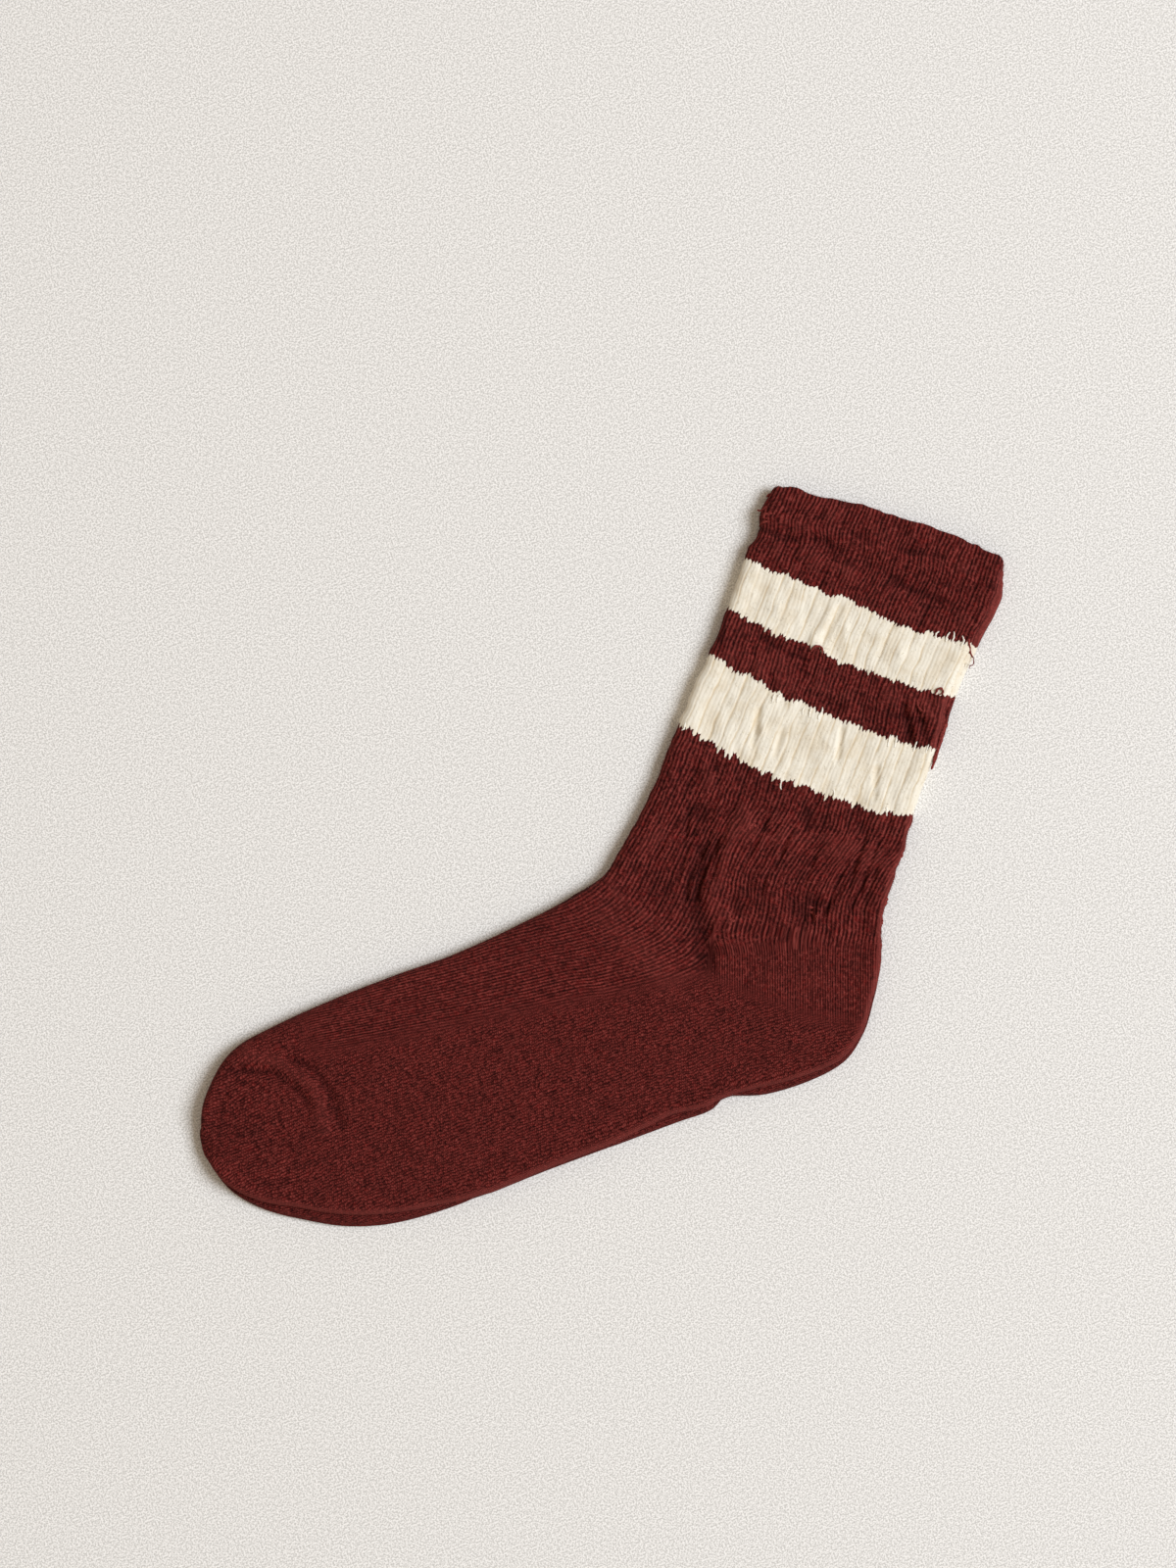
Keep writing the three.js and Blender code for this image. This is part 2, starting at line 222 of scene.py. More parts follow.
# Small snags and pills: where, how far the knit around is drawn in, the reach, and how high the bump
# or how deep the dent is.
snags = [
    (58.0, -42.5, 0.35, 3.4, -1.9),
    (60.8, -45.8, 0.1, 2.6, 1.0),
    (62.5, -41.5, 0.2, 2.2, -1.4),
    (35.5, -34.0, 0.3, 3.0, -1.1),
    (33.0, -36.0, 0.1, 3.0, 0.8),
    (55.5, -11.5, 0.3, 2.6, -1.1),
    (57.5, -9.0, 0.0, 2.4, 0.7),
    (29.5, -2.5, 0.2, 2.6, -0.8),
    (50.0, -6.0, 0.1, 3.0, 0.7),
    (88.0, -21.5, 0.2, 3.0, -0.7),
    (87.5, 59.5, 0.1, 3.4, 0.8),
    (121.0, 28.5, 0.1, 3.2, 0.8),
    (96.0, 40.5, 0.2, 2.6, 0.8),
    (121.5, 10.0, 0.1, 2.6, 0.9),
    (128.0, 9.0, 0.1, 2.4, 0.8),
    (112.0, 72.0, 0.2, 5.0, -0.6),
    (104.0, 84.0, 0.1, 5.0, 0.5),
    (128.0, 62.0, 0.1, 5.0, 0.5),
    (67.0, 21.0, 0.1, 3.6, 0.7),
    (-126.5, -43.5, 0.1, 2.2, -0.6),
    (87.4, 59.3, 0.1, 1.1, 0.8),
    (94.4, 45.0, 0.2, 1.3, 1.1),
    (67.0, 21.0, 0.1, 1.1, 0.7),
    (95.9, -11.6, 0.2, 1.2, 0.9),
    (121.0, 28.8, 0.1, 1.1, 0.8),
    (107.0, 44.0, 0.1, 1.0, 0.7),
    (80.5, 66.0, 0.1, 1.0, 0.6),
]

# The edge between ribbed and plain knit on either side of the foot.
plainEdge = [(-119, -31), (17.5, -54), (27.5, -64.5), (38, -73.5), (45, -80), (58, -88), (80, -100)]
toeLine = -119.5

# The shares of the height between which the lower layer gives way to the upper one.
layerSplit = (0.28, 0.62)


def softNoise(x, y, seed):
    # smooth random heights from -1 to 1, one for each unit square
    grid = np.random.default_rng(seed).uniform(-1.0, 1.0, (97, 97))
    x0 = np.floor(x).astype(int)
    y0 = np.floor(y).astype(int)
    fx = x - x0
    fy = y - y0
    fx = fx * fx * (3 - 2 * fx)
    fy = fy * fy * (3 - 2 * fy)
    low = grid[x0 % 97, y0 % 97] * (1 - fx) + grid[(x0 + 1) % 97, y0 % 97] * fx
    high = grid[x0 % 97, (y0 + 1) % 97] * (1 - fx) + grid[(x0 + 1) % 97, (y0 + 1) % 97] * fx
    return low * (1 - fy) + high * fy


def uneven(name, wale, knit):
    waleWave, knitWave, seed = waves[name]
    return softNoise(wale / waleWave, knit / knitWave, seed)


def ease(value, low, high):
    share = np.clip((value - low) / (high - low), 0.0, 1.0)
    return share * share * (3 - 2 * share)


def courseValue(key, number):
    # a smooth curve through every course's value, read at fractional course numbers
    column = courseKeys.index(key)
    values = np.array([courses[name][column] for name in courseOrder], float)
    values = np.concatenate([[2 * values[0] - values[1]], values, [2 * values[-1] - values[-2]]])
    low = np.clip(np.floor(number).astype(int), 0, len(courseOrder) - 2)
    t = number - low
    a, b, c, d = (values[low + step] for step in range(4))
    return 0.5 * (2 * b + (c - a) * t + (2 * a - 5 * b + 4 * c - d) * t**2
                  + (3 * b - a - 3 * c + d) * t**3)


def plainValue(key, number):
    # the same, but straight from course to course
    column = courseKeys.index(key)
    values = [courses[name][column] for name in courseOrder]
    return np.interp(number, np.arange(len(values)), values)


def evenCourseNumbers(spacing, lastName):
    # course numbers whose mid lines are evenly spaced
    fine = np.linspace(0, courseOrder.index(lastName), 4000)
    x = (courseValue("frontX", fine) + courseValue("backX", fine)) / 2
    y = (courseValue("frontY", fine) + courseValue("backY", fine)) / 2
    run = np.concatenate([[0], np.cumsum(np.hypot(np.diff(x), np.diff(y)))])
    count = max(2, round(run[-1] / spacing))
    return np.interp(np.linspace(0, run[-1], count + 1), run, fine)


def nearRun(x, y, run):
    # distance from points to a line through the given points
    best = np.full(np.shape(x), 1e9)
    for (ax, ay), (bx, by) in zip(run[:-1], run[1:]):
        dx = bx - ax
        dy = by - ay
        share = np.clip(((x - ax) * dx + (y - ay) * dy) / (dx * dx + dy * dy), 0, 1)
        best = np.minimum(best, np.hypot(x - ax - share * dx, y - ay - share * dy))
    return best


def foldRise(x, y):
    # the height of all the folds, and of those narrow enough to be painted into the yarn's colour as shade
    # in dents and light on ridges
    rise = np.zeros(np.shape(x))
    narrow = np.zeros(np.shape(x))
    for height, half, run in folds.values():
        fold = height * (1 - ease(nearRun(x, y, run), 0, half))
        rise += fold
        if half < sock["broadSwell"]:
            narrow += fold
    return rise, narrow


class Rows:
    # everything about a set of courses that is the same all the way across

    def __init__(self, number):
        self.number = number
        self.front = np.stack([courseValue("frontX", number), courseValue("frontY", number)], 1)
        self.back = np.stack([courseValue("backX", number), courseValue("backY", number)], 1)
        across = self.back - self.front
        self.width = np.hypot(across[:, 0], across[:, 1])
        self.along = across / self.width[:, None]
        self.cuffward = np.stack([-self.along[:, 1], self.along[:, 0]], 1)
        at = courseOrder.index
        wallShare = ease(number, at("ankleCorner"), at("heelLow"))
        self.wall = sock["legWall"] + (sock["footWall"] - sock["legWall"]) * wallShare
        closing = ease(number, at("toeClose") - 1.5, at("toeEnd"))
        thin = ease(number, at("toeClose"), at("toeEnd"))
        self.height = (2 * self.wall + sock["hollow"] * (1 - 0.5 * closing)) * (1 - 0.3 * thin)
        self.knit = courseValue("knit", number)
        self.bow = plainValue("bow", number)
        self.peek = plainValue("peek", number)
        self.side = plainValue("side", number)
        self.turn = plainValue("turn", number)
        self.leg = 1 - ease(number, at("overAnkle"), at("heelBack"))
        self.twist = sock["legTwist"] * ease(number, at("stripe2End"), at("overAnkle"))


def placeColumns(rows, wales):
    # where each wale lies round the tube: 0 front edge, 1 back edge, and up to 2 back underneath
    half = sock["wales"] / 4
    places = np.empty((len(rows.number), len(wales)))
    for row in range(len(rows.number)):
        turn = rows.turn[row]
        lowSide = 0.5 + (rows.side[row] - 0.5) * 0.15   # the lower layer stays nearly even
        wale = turn + np.mod(wales - turn, sock["wales"])
        knots = [turn, half, 2 * half, 3 * half, 4 * half + turn]
        stops = [0, rows.side[row], 1, 2 - lowSide, 2]
        places[row] = np.interp(wale, knots, stops)
    return places


# The back fold where the lower layer shows: how far round it, then the part of the corner radius
# and the part of the peek that a point lies in from the outermost edge, then its share of the height.
foldProfile = [
    (-1.0, 1.0, 1.0, 1.0),
    (-0.7, 0.45, 1.0, 0.955),
    (-0.42, 0.12, 1.0, 0.83),
    (-0.2, 0.0, 1.0, 0.69),
    (-0.07, 0.16, 1.0, 0.565),
    (0.03, 0.12, 0.86, 0.50),
    (0.3, 0.06, 0.36, 0.465),
    (0.55, 0.0, 0.05, 0.29),
    (0.75, 0.02, 0.0, 0.10),
    (0.88, 0.25, 0.0, 0.02),
    (1.0, 1.0, 0.0, 0.0),
]


def section(rows, places, inset):
    # the flattened ring: distance across from the front edge, height, the outward direction, and the masks
    # of the painted crease shade and the painted edge highlight
    radius = (rows.height / 2)[:, None]
    corner = radius - inset
    width = rows.width[:, None]
    bend = math.pi / 2 * radius
    flat = width - 2 * radius
    total = 2 * bend + flat
    upper = places <= 1
    run = np.where(upper, places, 2 - places) * total
    frontTurn = np.clip(run / radius, 0, math.pi / 2)
    backTurn = np.clip((run - bend - flat) / radius, 0, math.pi / 2)
    level = np.clip(run - bend, 0, flat)
    outX = -np.cos(frontTurn) + np.sin(backTurn)
    outZ = np.sin(frontTurn) + np.cos(backTurn) - 1
    reach = np.where(upper, outX, np.sign(outX) * np.abs(outX) ** sock["settledEdge"])
    across = radius + level + corner * reach
    sign = np.where(upper, 1.0, -1.0)
    z = radius + sign * corner * outZ

    # the upper layer stops short of the lower one
    peek = rows.peek[:, None]
    share = np.clip(across / width, 0, 1)
    across = across - peek * share * ease(z / (2 * radius), *layerSplit)
    way, inCorner, inPeek, level = np.array(foldProfile).T
    turned = sign * (backTurn / (math.pi / 2) - 1)
    turned = np.where(upper, turned, 1 - backTurn / (math.pi / 2))
    foldAcross = width - inset - corner * np.interp(turned, way, inCorner)
    foldAcross = foldAcross - peek * np.interp(turned, way, inPeek)
    foldZ = inset + 2 * corner * np.interp(turned, way, level)
    weight = ease(peek, 0.3, 1.6) * (backTurn > 0)
    across = across + (foldAcross - across) * weight
    z = z + (foldZ - z) * weight
    # painted shade: a dark line along the fold's crease, stronger beside the cuff; it only darkens the
    # yarn's colour, through the relief
    creaseShade = np.exp(-(((turned + 0.05) / 0.13) ** 2)) * weight
    # painted highlight: the rounded back fold edges, which face the lamp, and the strip of the lower layer
    # beside the cuff are painted lighter in the yarn's colour
    paintedEdgeLight = ease(turned, -0.9, -0.6) * (1 - ease(turned, -0.22, -0.05)) * (backTurn > 0)
    besideCuff = (1 - ease(rows.knit, 26, 40))[:, None]
    strip = ease(turned, -0.04, 0.1) * (1 - ease(turned, 0.7, 0.9))
    paintedEdgeLight = paintedEdgeLight * (1 - besideCuff) + sock["stripPaintedLight"] * strip * besideCuff
    creaseShade = creaseShade * (1 + 2.5 * besideCuff)
    return across, z, outX, sign * outZ, creaseShade, paintedEdgeLight


def strayColumns(rows, laidWale, knit, share):
    # single columns stray sideways, and on the lower leg they all come round from behind
    fromFold = np.minimum(laidWale, np.abs(sock["wales"] - laidWale))
    stray = uneven("column", laidWale, knit) + 0.5 * uneven("fineColumn", laidWale, knit)
    stray = sock["stray"] * stray * np.clip(fromFold / 2, 0, 1) * (0.2 + 0.8 * rows.leg[:, None])
    return laidWale + rows.twist[:, None] * share + stray


def strayKnit(rows, wale, knit, share):
    # how far the ribs wander across the sock, and the courses and the cuff's edge along it
    leg = rows.leg[:, None]
    wander = uneven("rib", wale, knit) + 0.5 * uneven("fineRib", wale, knit)
    sideways = sock["wander"] * wander * np.sin(math.pi * share) * (0.25 + 0.75 * leg)
    along = sock["waviness"] * uneven("course", wale, knit) + 0.4 * uneven("fineCourse", wale, knit)
    along = along * leg * ease(knit, 0, 10)
    cuffEdge = sock["scallop"] * softNoise(wale / 2.0, 0 * knit, 17)
    for height, place, reach in cuffBumps:
        cuffEdge = cuffEdge + height * np.exp(-((share - place) / reach) ** 2)
    return sideways, along + cuffEdge * (1 - ease(knit, 0, 4))


def roughEdges(rows, outX, knit):
    # the two folded edges of the leg are lumpy, and the back one dips under the cuff
    front = outX < 0
    lumps = softNoise(knit / 5.2, np.where(front, 3.5, 40.5) + 0 * knit, 15)
    lumps = lumps + 0.6 * softNoise(knit / 2.3, np.where(front, 9.5, 50.5) + 0 * knit, 16)
    lumps = np.sign(outX) * lumps * (0.03 + sock["edgeLump"] * rows.leg[:, None])
    dipKnit, dipDepth, dipReach = sock["cuffNotch"]
    dip = dipDepth * np.exp(-((knit - dipKnit) / dipReach) ** 2) * (outX > 0)
    return (lumps - dip) * outX**2


def liftUpper(rows, x, y, wale, knit, along):
    # the rise of the upper layer, and the part of it that is painted into the yarn's colour as shade in
    # hollows and light on raised places
    leg = rows.leg[:, None]
    lump = sock["legLump"] * leg + sock["footLump"] * (1 - leg)
    relief = lump * (uneven("lump", wale, knit) + 0.6 * uneven("smallLump", wale, knit))
    relief = relief + sock["fineLump"] * uneven("fineLump", wale, knit) * (0.12 + 0.88 * leg)
    rumple = uneven("pucker", wale, knit) + 0.7 * uneven("finePucker", wale, knit)
    relief = relief + sock["pucker"] * np.interp(knit, *np.array(puckers).T) * rumple
    swell = 0.5 * uneven("swell", wale, knit) * (0.3 + 0.7 * leg)
    pastWelt = knit + 0.8 * along - sock["weltWidth"]
    welt = sock["weltStep"] * (1 - ease(pastWelt, -1.2, 0.6))
    groove = -0.35 * np.exp(-(((pastWelt - 0.8) / 0.9) ** 2))
    folded, narrow = foldRise(x, y)
    return relief + folded + swell + welt + groove, relief + narrow


def turnHeel(x, y, places, wale, knit):
    # behind the ankle the columns go straight down instead of round with the courses
    startX, startY = heelColumns["from"]
    rightX, rightY = heelColumns["across"]
    across = (x - startX) * rightX + (y - startY) * rightY
    down = (x - startX) * rightY - (y - startY) * rightX
    edgeX, edgeY = np.array(heelColumns["edge"], float).T
    pastValley = ease(x - np.interp(-y, -edgeY, edgeX), -1.5, 1.5)
    topX, topY = heelColumns["edge"][1]
    slope = (startY - topY) / (startX - topX)
    below = ease(topY + (x - topX) * slope - y, 0, heelColumns["fade"])
    inHeel = pastValley * below * ease(places, 1.06, 1.0)
    heelWale = heelColumns["wale"] + across / heelColumns["width"]
    heelKnit = heelColumns["knit"] + down
    return wale + (heelWale - wale) * inHeel, knit + (heelKnit - knit) * inHeel, inHeel


def cutRibs(rows, wale, knit, ribbed, plainly, upper):
    # some furrows between ribs are open and some closed, and that changes along the leg
    leg = rows.leg[:, None]
    rib = wale / sock["walesPerRib"]
    openness = softNoise(np.round(rib) * 3.7, knit / 18.0, 31)
    furrow = np.abs(np.cos(math.pi * rib)) ** 7 * np.clip(0.45 + 0.9 * openness, 0.0, 1.4)
    furrow = furrow * (0.15 + 0.85 * leg) * (0.3 + 0.7 * ease(knit, sock["weltWidth"], 34)) * ribbed
    single = np.cos(2 * math.pi * (wale - 0.5)) * upper * plainly
    single = single * (1 + 0.9 * softNoise(np.floor(wale) * 2.3, knit / 7.0, 32))
    single = single * (0.35 + 0.65 * ribbed) * (0.6 + 0.4 * leg)
    return sock["waleRise"] * single - sock["furrowDepth"] * furrow, furrow


def buildTube(number, wales, inset=0.0):
    # the points of one skin of the tube, a row for each course: inset 0 is outside and 1 is inside
    rows = Rows(number)
    places = placeColumns(rows, wales)
    insets = inset * rows.wall[:, None]
    across, z, outX, outZ, creaseShade, paintedEdgeLight = section(rows, places, insets)
    width = rows.width[:, None]
    upper = ease(z / rows.height[:, None], *layerSplit)
    share = np.clip(across / width, 0, 1)
    knit = np.broadcast_to(rows.knit[:, None], places.shape)
    wale = strayColumns(rows, np.broadcast_to(wales[None, :], places.shape), knit, share)
    sideways, along = strayKnit(rows, wale, knit, share)
    across = across + sideways + roughEdges(rows, outX, knit)
    bow = 4 * rows.bow[:, None] * share * (1 - share) + along
    x = rows.front[:, None, 0] + rows.along[:, None, 0] * across + rows.cuffward[:, None, 0] * bow
    y = rows.front[:, None, 1] + rows.along[:, None, 1] * across + rows.cuffward[:, None, 1] * bow

    # the upper layer is beaded at its edges and rises and falls between them
    inward = np.minimum(across, width - across)
    bead = sock["edgeBead"] * (1 - ease(inward, sock["beadReach"] / 2, sock["beadReach"]))
    rise, relief = liftUpper(rows, x, y, wale, knit, along)
    z = z + upper * (bead + ease(inward, 0, sock["beadReach"]) * rise)
    # painted shade along the fold crease
    relief = relief - 0.5 * creaseShade

    # ribbed leg and instep, plain heel, sole and toe
    lineX, lineY = np.array(plainEdge, float).T
    ribbed = ease(y - np.interp(x, lineX, lineY), 0.0, 6.5) * ease(x, toeLine - 3, toeLine + 6)
    wale, shownKnit, inHeel = turnHeel(x, y, places, wale, knit)

    if inset == 0:
        for snagX, snagY, pull, reach, dent in snags:
            near = np.exp(-((x - snagX) ** 2 + (y - snagY) ** 2) / reach**2) * upper
            x = x + (snagX - x) * pull * near
            y = y + (snagY - y) * pull * near
            z = z + dent * near
            # painted shade in the snag's dent and painted light on its bump
            relief = relief + dent * near
        out, furrow = cutRibs(rows, wale, knit, ribbed, 1 - 0.8 * inHeel, upper)
        # painted shade in the open furrows between ribs
        relief = relief - 0.5 * furrow
        x = x + rows.along[:, None, 0] * outX * out
        y = y + rows.along[:, None, 1] * outX * out
        z = z + outZ * out
    z = np.maximum(z, 0.02 + insets * 0.98)
    overToe = ease(x, -135, -162)
    facts = {
        "wale": np.where(places > 1, sock["wales"] - wale, wale),
        "knit": shownKnit,
        "across": y + z * (2 * share - 1) * (1 - 0.6 * overToe),
        "ribbed": ribbed,
        "heel": inHeel,
        # painted shade and light: hollows are painted darker and raised places lighter in the yarn's colour
        "relief": relief,
        # painted highlight on the lit back fold edges
        "paintedEdgeLight": paintedEdgeLight,
        "run": x + z * overToe,
    }
    return rows, np.stack([x, y, z], -1), facts


def buildRim(outer, inner, cuffward, steps=4):
    # the turned edge rolls over from the outside to the inside
    turned = []
    for step in range(1, steps):
        turn = math.pi * step / steps
        share = (1 - math.cos(turn)) / 2
        ring = outer * (1 - share) + inner * share
        ring[:, :2] += cuffward * sock["cuffRoll"] * math.sin(turn)
        turned.append(ring)
    return turned


def makeMesh(name, points, faces, facts):
    mesh = bpy.data.meshes.new(name)
    mesh.from_pydata((np.asarray(points) * mm).tolist(), [], faces)
    for key, values in facts.items():
        layer = mesh.attributes.new(key, "FLOAT", "POINT")
        layer.data.foreach_set("value", np.asarray(values, np.float32))
    mesh.shade_smooth()
    mesh.update()
    piece = bpy.data.objects.new(name, mesh)
    bpy.context.collection.objects.link(piece)
    return piece


def skinRings(faces, rings, inward=False):
    # four-sided faces between each ring of points and the next
    count = len(rings[0])
    for first, second in zip(rings[:-1], rings[1:]):
        for column in range(count):
            after = (column + 1) % count
            face = (first[column], second[column], second[after], first[after])
            faces.append(face[:1] + face[:0:-1] if inward else face)


def knitSock():
    # the knitted wall in one piece: outer skin, closed toe, inner skin and the turned rim of the cuff
    half = sock["wales"] / 2
    upperWales = np.arange(0, half, 1 / sock["upperColumnsPerWale"])
    foldWales = np.arange(half, half + sock["foldWales"], 1 / sock["upperColumnsPerWale"])
    wales = np.concatenate([upperWales, foldWales, np.arange(half + sock["foldWales"], 2 * half, 1.0)])
    numbers = evenCourseNumbers(sock["rowSpacing"], "toeEnd")
    rows, outer, facts = buildTube(numbers, wales)
    coarse = np.arange(0, sock["wales"], sock["insideWales"])
    insideNumbers = evenCourseNumbers(sock["insideSpacing"], "toeClose")
    _, innerFine, _ = buildTube(insideNumbers[:1], wales, 1.0)
    _, inner, innerFacts = buildTube(insideNumbers, coarse, 1.0)
    rim = buildRim(outer[0], innerFine[0], rows.cuffward[0])

    points = []
    store = {key: [] for key in facts}

    def addRing(ring, ringFacts):
        first = len(points)
        points.extend(ring)
        for key in store:
            store[key].extend(ringFacts[key])
        return list(range(first, first + len(ring)))

    def rowFacts(allFacts, row):
        return {key: allFacts[key][row] for key in store}

    rings = [addRing(ring, rowFacts(facts, 0)) for ring in reversed(rim)]
    rings += [addRing(outer[row], rowFacts(facts, row)) for row in range(len(numbers))]

    # the toe closes over its last course
    last = outer[-1]
    middle = last.mean(0)
    tipward = np.append(-rows.cuffward[-1], 0) * sock["toePush"]
    for step in (1, 2):
        turn = math.pi / 2 * step / 3
        ring = middle + (last - middle) * math.cos(turn) + tipward * math.sin(turn)
        rings.append(addRing(ring, rowFacts(facts, -1)))
    tip = addRing([middle + tipward], {key: facts[key][-1][:1] for key in store})[0]

    faces = []
    count = len(wales)
    skinRings(faces, rings)
    faces += [(rings[-1][column], tip, rings[-1][(column + 1) % count]) for column in range(count)]

    outerPoints = len(points)

    # the inside of the tube, closed at the toe and joined to the rim of the cuff
    insideRings = [addRing(inner[row], rowFacts(innerFacts, row)) for row in range(len(insideNumbers))]
    innerCount = len(coarse)
    skinRings(faces, insideRings, inward=True)
    faces.append(tuple(insideRings[-1]))
    starts = [int(np.argmin(np.abs(wales - wale))) for wale in coarse] + [count]
    for column in range(innerCount):
        span = [rings[0][index % count] for index in range(starts[column], starts[column + 1] + 1)]
        after = (column + 1) % innerCount
        faces.append((insideRings[0][column], *span, insideRings[0][after]))
    piece = makeMesh("sockKnit", points, faces, store)
    piece["outerPoints"] = outerPoints
    print("sock:", len(piece.data.vertices), "points,", sum(len(f) - 2 for f in faces), "triangles")
    return piece


class Value:
    # a number or a colour on its way through a node tree

    def __init__(self, tree, socket):
        self.tree = tree
        self.socket = socket

    def calc(self, operation, other=0.0):
        node = self.tree.nodes.new("ShaderNodeMath")
        node.operation = operation
        feed(self.tree, {0: self, 1: other}, node)
        return Value(self.tree, node.outputs[0])

    def __add__(self, other):
        return self.calc("ADD", other)

    def __sub__(self, other):
        return self.calc("SUBTRACT", other)

    def __mul__(self, other):
        return self.calc("MULTIPLY", other)

    def __truediv__(self, other):
        return self.calc("DIVIDE", other)

    def toNearest(self):
        return self - self.calc("ROUND")


def feed(tree, values, node):
    # links each value to its input, or writes a plain number or colour there
    for key, value in values.items():
        if isinstance(value, Value):
            tree.links.new(value.socket, node.inputs[key])
        else:
            node.inputs[key].default_value = value


def addNode(tree, kind, values, output=0, **settings):
    node = tree.nodes.new("ShaderNode" + kind)
    for key, setting in settings.items():
        setattr(node, key, setting)
    feed(tree, values, node)
    return Value(tree, node.outputs[output])


def remap(value, low, high, toLow=0.0, toHigh=1.0):
    return addNode(value.tree, "MapRange", {"Value": value, "From Min": low, "From Max": high,
                                            "To Min": toLow, "To Max": toHigh},
                   interpolation_type="SMOOTHSTEP")


def mixColour(share, a, b):
    return addNode(share.tree, "Mix", {0: share, 6: a, 7: b}, 2, data_type="RGBA")


def mixValue(share, a, b):
    return addNode(share.tree, "Mix", {0: share, 2: a, 3: b}, data_type="FLOAT")


def combine(x, y, z=0.0):
    return addNode(x.tree, "CombineXYZ", {0: x, 1: y, 2: z})


def noise(place, scale, detail=2.0, roughness=0.55, output="Fac"):
    return addNode(place.tree, "TexNoise", {"Vector": place, "Scale": scale, "Detail": detail,
                                            "Roughness": roughness}, output)


def cosine(turns):
    # 0 to 1 and back once for each unit
    return (turns * (2 * math.pi)).calc("COSINE") * 0.5 + 0.5


def chance(x, y, z=0.0):
    # one random number for each whole step of x and y
    return addNode(x.tree, "TexWhiteNoise", {"Vector": combine(x, y, z)}, "Value",
                   noise_dimensions="3D")


def newGroup(name, inputs, outputs):
    # inputs with a plain number are numbers and those with four numbers are colours
    tree = bpy.data.node_groups.new(name, "ShaderNodeTree")
    for label, value in inputs.items():
        kind = "NodeSocketColor" if isinstance(value, tuple) else "NodeSocketFloat"
        tree.interface.new_socket(label, in_out="INPUT", socket_type=kind).default_value = value
    for label in outputs:
        kind = "NodeSocketColor" if label == "Color" else "NodeSocketFloat"
        tree.interface.new_socket(label, in_out="OUTPUT", socket_type=kind)
    source = tree.nodes.new("NodeGroupInput")
    given = {label: Value(tree, source.outputs[label]) for label in inputs}
    return tree, given, tree.nodes.new("NodeGroupOutput")


def ribStitchGroup():
    # columns of stitches, three to a rib, with painted shade as dark dots between them and darker lines
    # between ribs, and painted highlights along their crests
    tree, given, result = newGroup(
        "ribStitch", {"Wale": 0.0, "Knit": 0.0, "Stitch": 0.95, "Looseness": 0.5},
        ("Height", "Ridge", "Gap", "Furrow", "Grain"))
    knit = given["Knit"]
    stray = noise(combine(given["Wale"], knit * 0.45), 0.8, 3.0, 0.6) - 0.5
    wale = stray * given["Looseness"] + given["Wale"]
    middle = wale.calc("FLOOR") + 0.5
    off = (wale - middle).calc("ABSOLUTE")
    steps = stray * 1.6 + knit / given["Stitch"] + chance(middle, 4.0)
    leaning = steps - off * 1.2
    grain = chance(middle, leaning.calc("FLOOR"))
    dotChance = chance(wale.calc("ROUND"), steps.calc("FLOOR"), 2.0)
    legs = cosine(leaning)
    dots = cosine(steps + 0.5)
    crest = remap(off, 0.06, 0.32, 1.0, 0.0)
    rounded = remap(off, 0.1, 0.46, 1.0, 0.0)
    valley = remap(off, 0.20, 0.44)
    toFurrow = (wale / float(sock["walesPerRib"])).toNearest().calc("ABSOLUTE")
    furrow = remap(toFurrow, 0.10, 0.02)
    lit = noise(combine(middle * 5.3, knit * 0.22), 1.0, 2.0, 0.6)
    broken = (legs * 0.35 + 0.65) * (grain * 0.45 + 0.55) * remap(lit, 0.34, 0.6, 0.25, 1.0)
    feed(tree, {
        "Height": rounded * (legs * 0.4 + 0.6) + grain * 0.35 - furrow * 0.5,
        "Ridge": crest * broken,
        "Gap": valley * (dots * 0.85 + 0.15) * (dotChance * 0.8 + 0.2),
        "Furrow": furrow,
        "Grain": grain,
    }, result)
    return tree


def plainStitchGroup():
    # fine plain knit: close columns of small uneven stitches with painted shade as dark dots between them
    # and painted highlights on them
    tree, given, result = newGroup(
        "plainStitch", {"Across": 0.0, "Knit": 0.0, "Column": plainKnit["column"],
                        "Stitch": plainKnit["stitch"]},
        ("Height", "Gap", "Ridge", "Grain"))
    stray = noise(combine(given["Across"], given["Knit"]), 0.45, 2.5, 0.5, "Color")
    strayX = addNode(tree, "SeparateXYZ", {0: stray}, 0) - 0.5
    strayY = addNode(tree, "SeparateXYZ", {0: stray}, 1) - 0.5
    wale = (strayX * 1.7 + given["Across"]) / given["Column"]
    middle = wale.calc("ROUND")
    off = wale.toNearest().calc("ABSOLUTE")
    jog = middle.calc("MODULO", 2.0) * 0.5
    steps = (strayY * 1.7 + given["Knit"]) / given["Stitch"]
    grain = chance(middle, (steps + jog).calc("FLOOR"))
    gap = remap(off, 0.18, 0.46) * cosine(steps + 0.5 + jog) * (grain * -0.6 + 1.0)
    ridge = remap(off, 0.12, 0.42, 1.0, 0.0) * cosine(steps - off + jog) * (grain * 0.8 + 0.2)
    feed(tree, {"Height": ridge - gap, "Gap": gap, "Ridge": ridge, "Grain": grain}, result)
    return tree


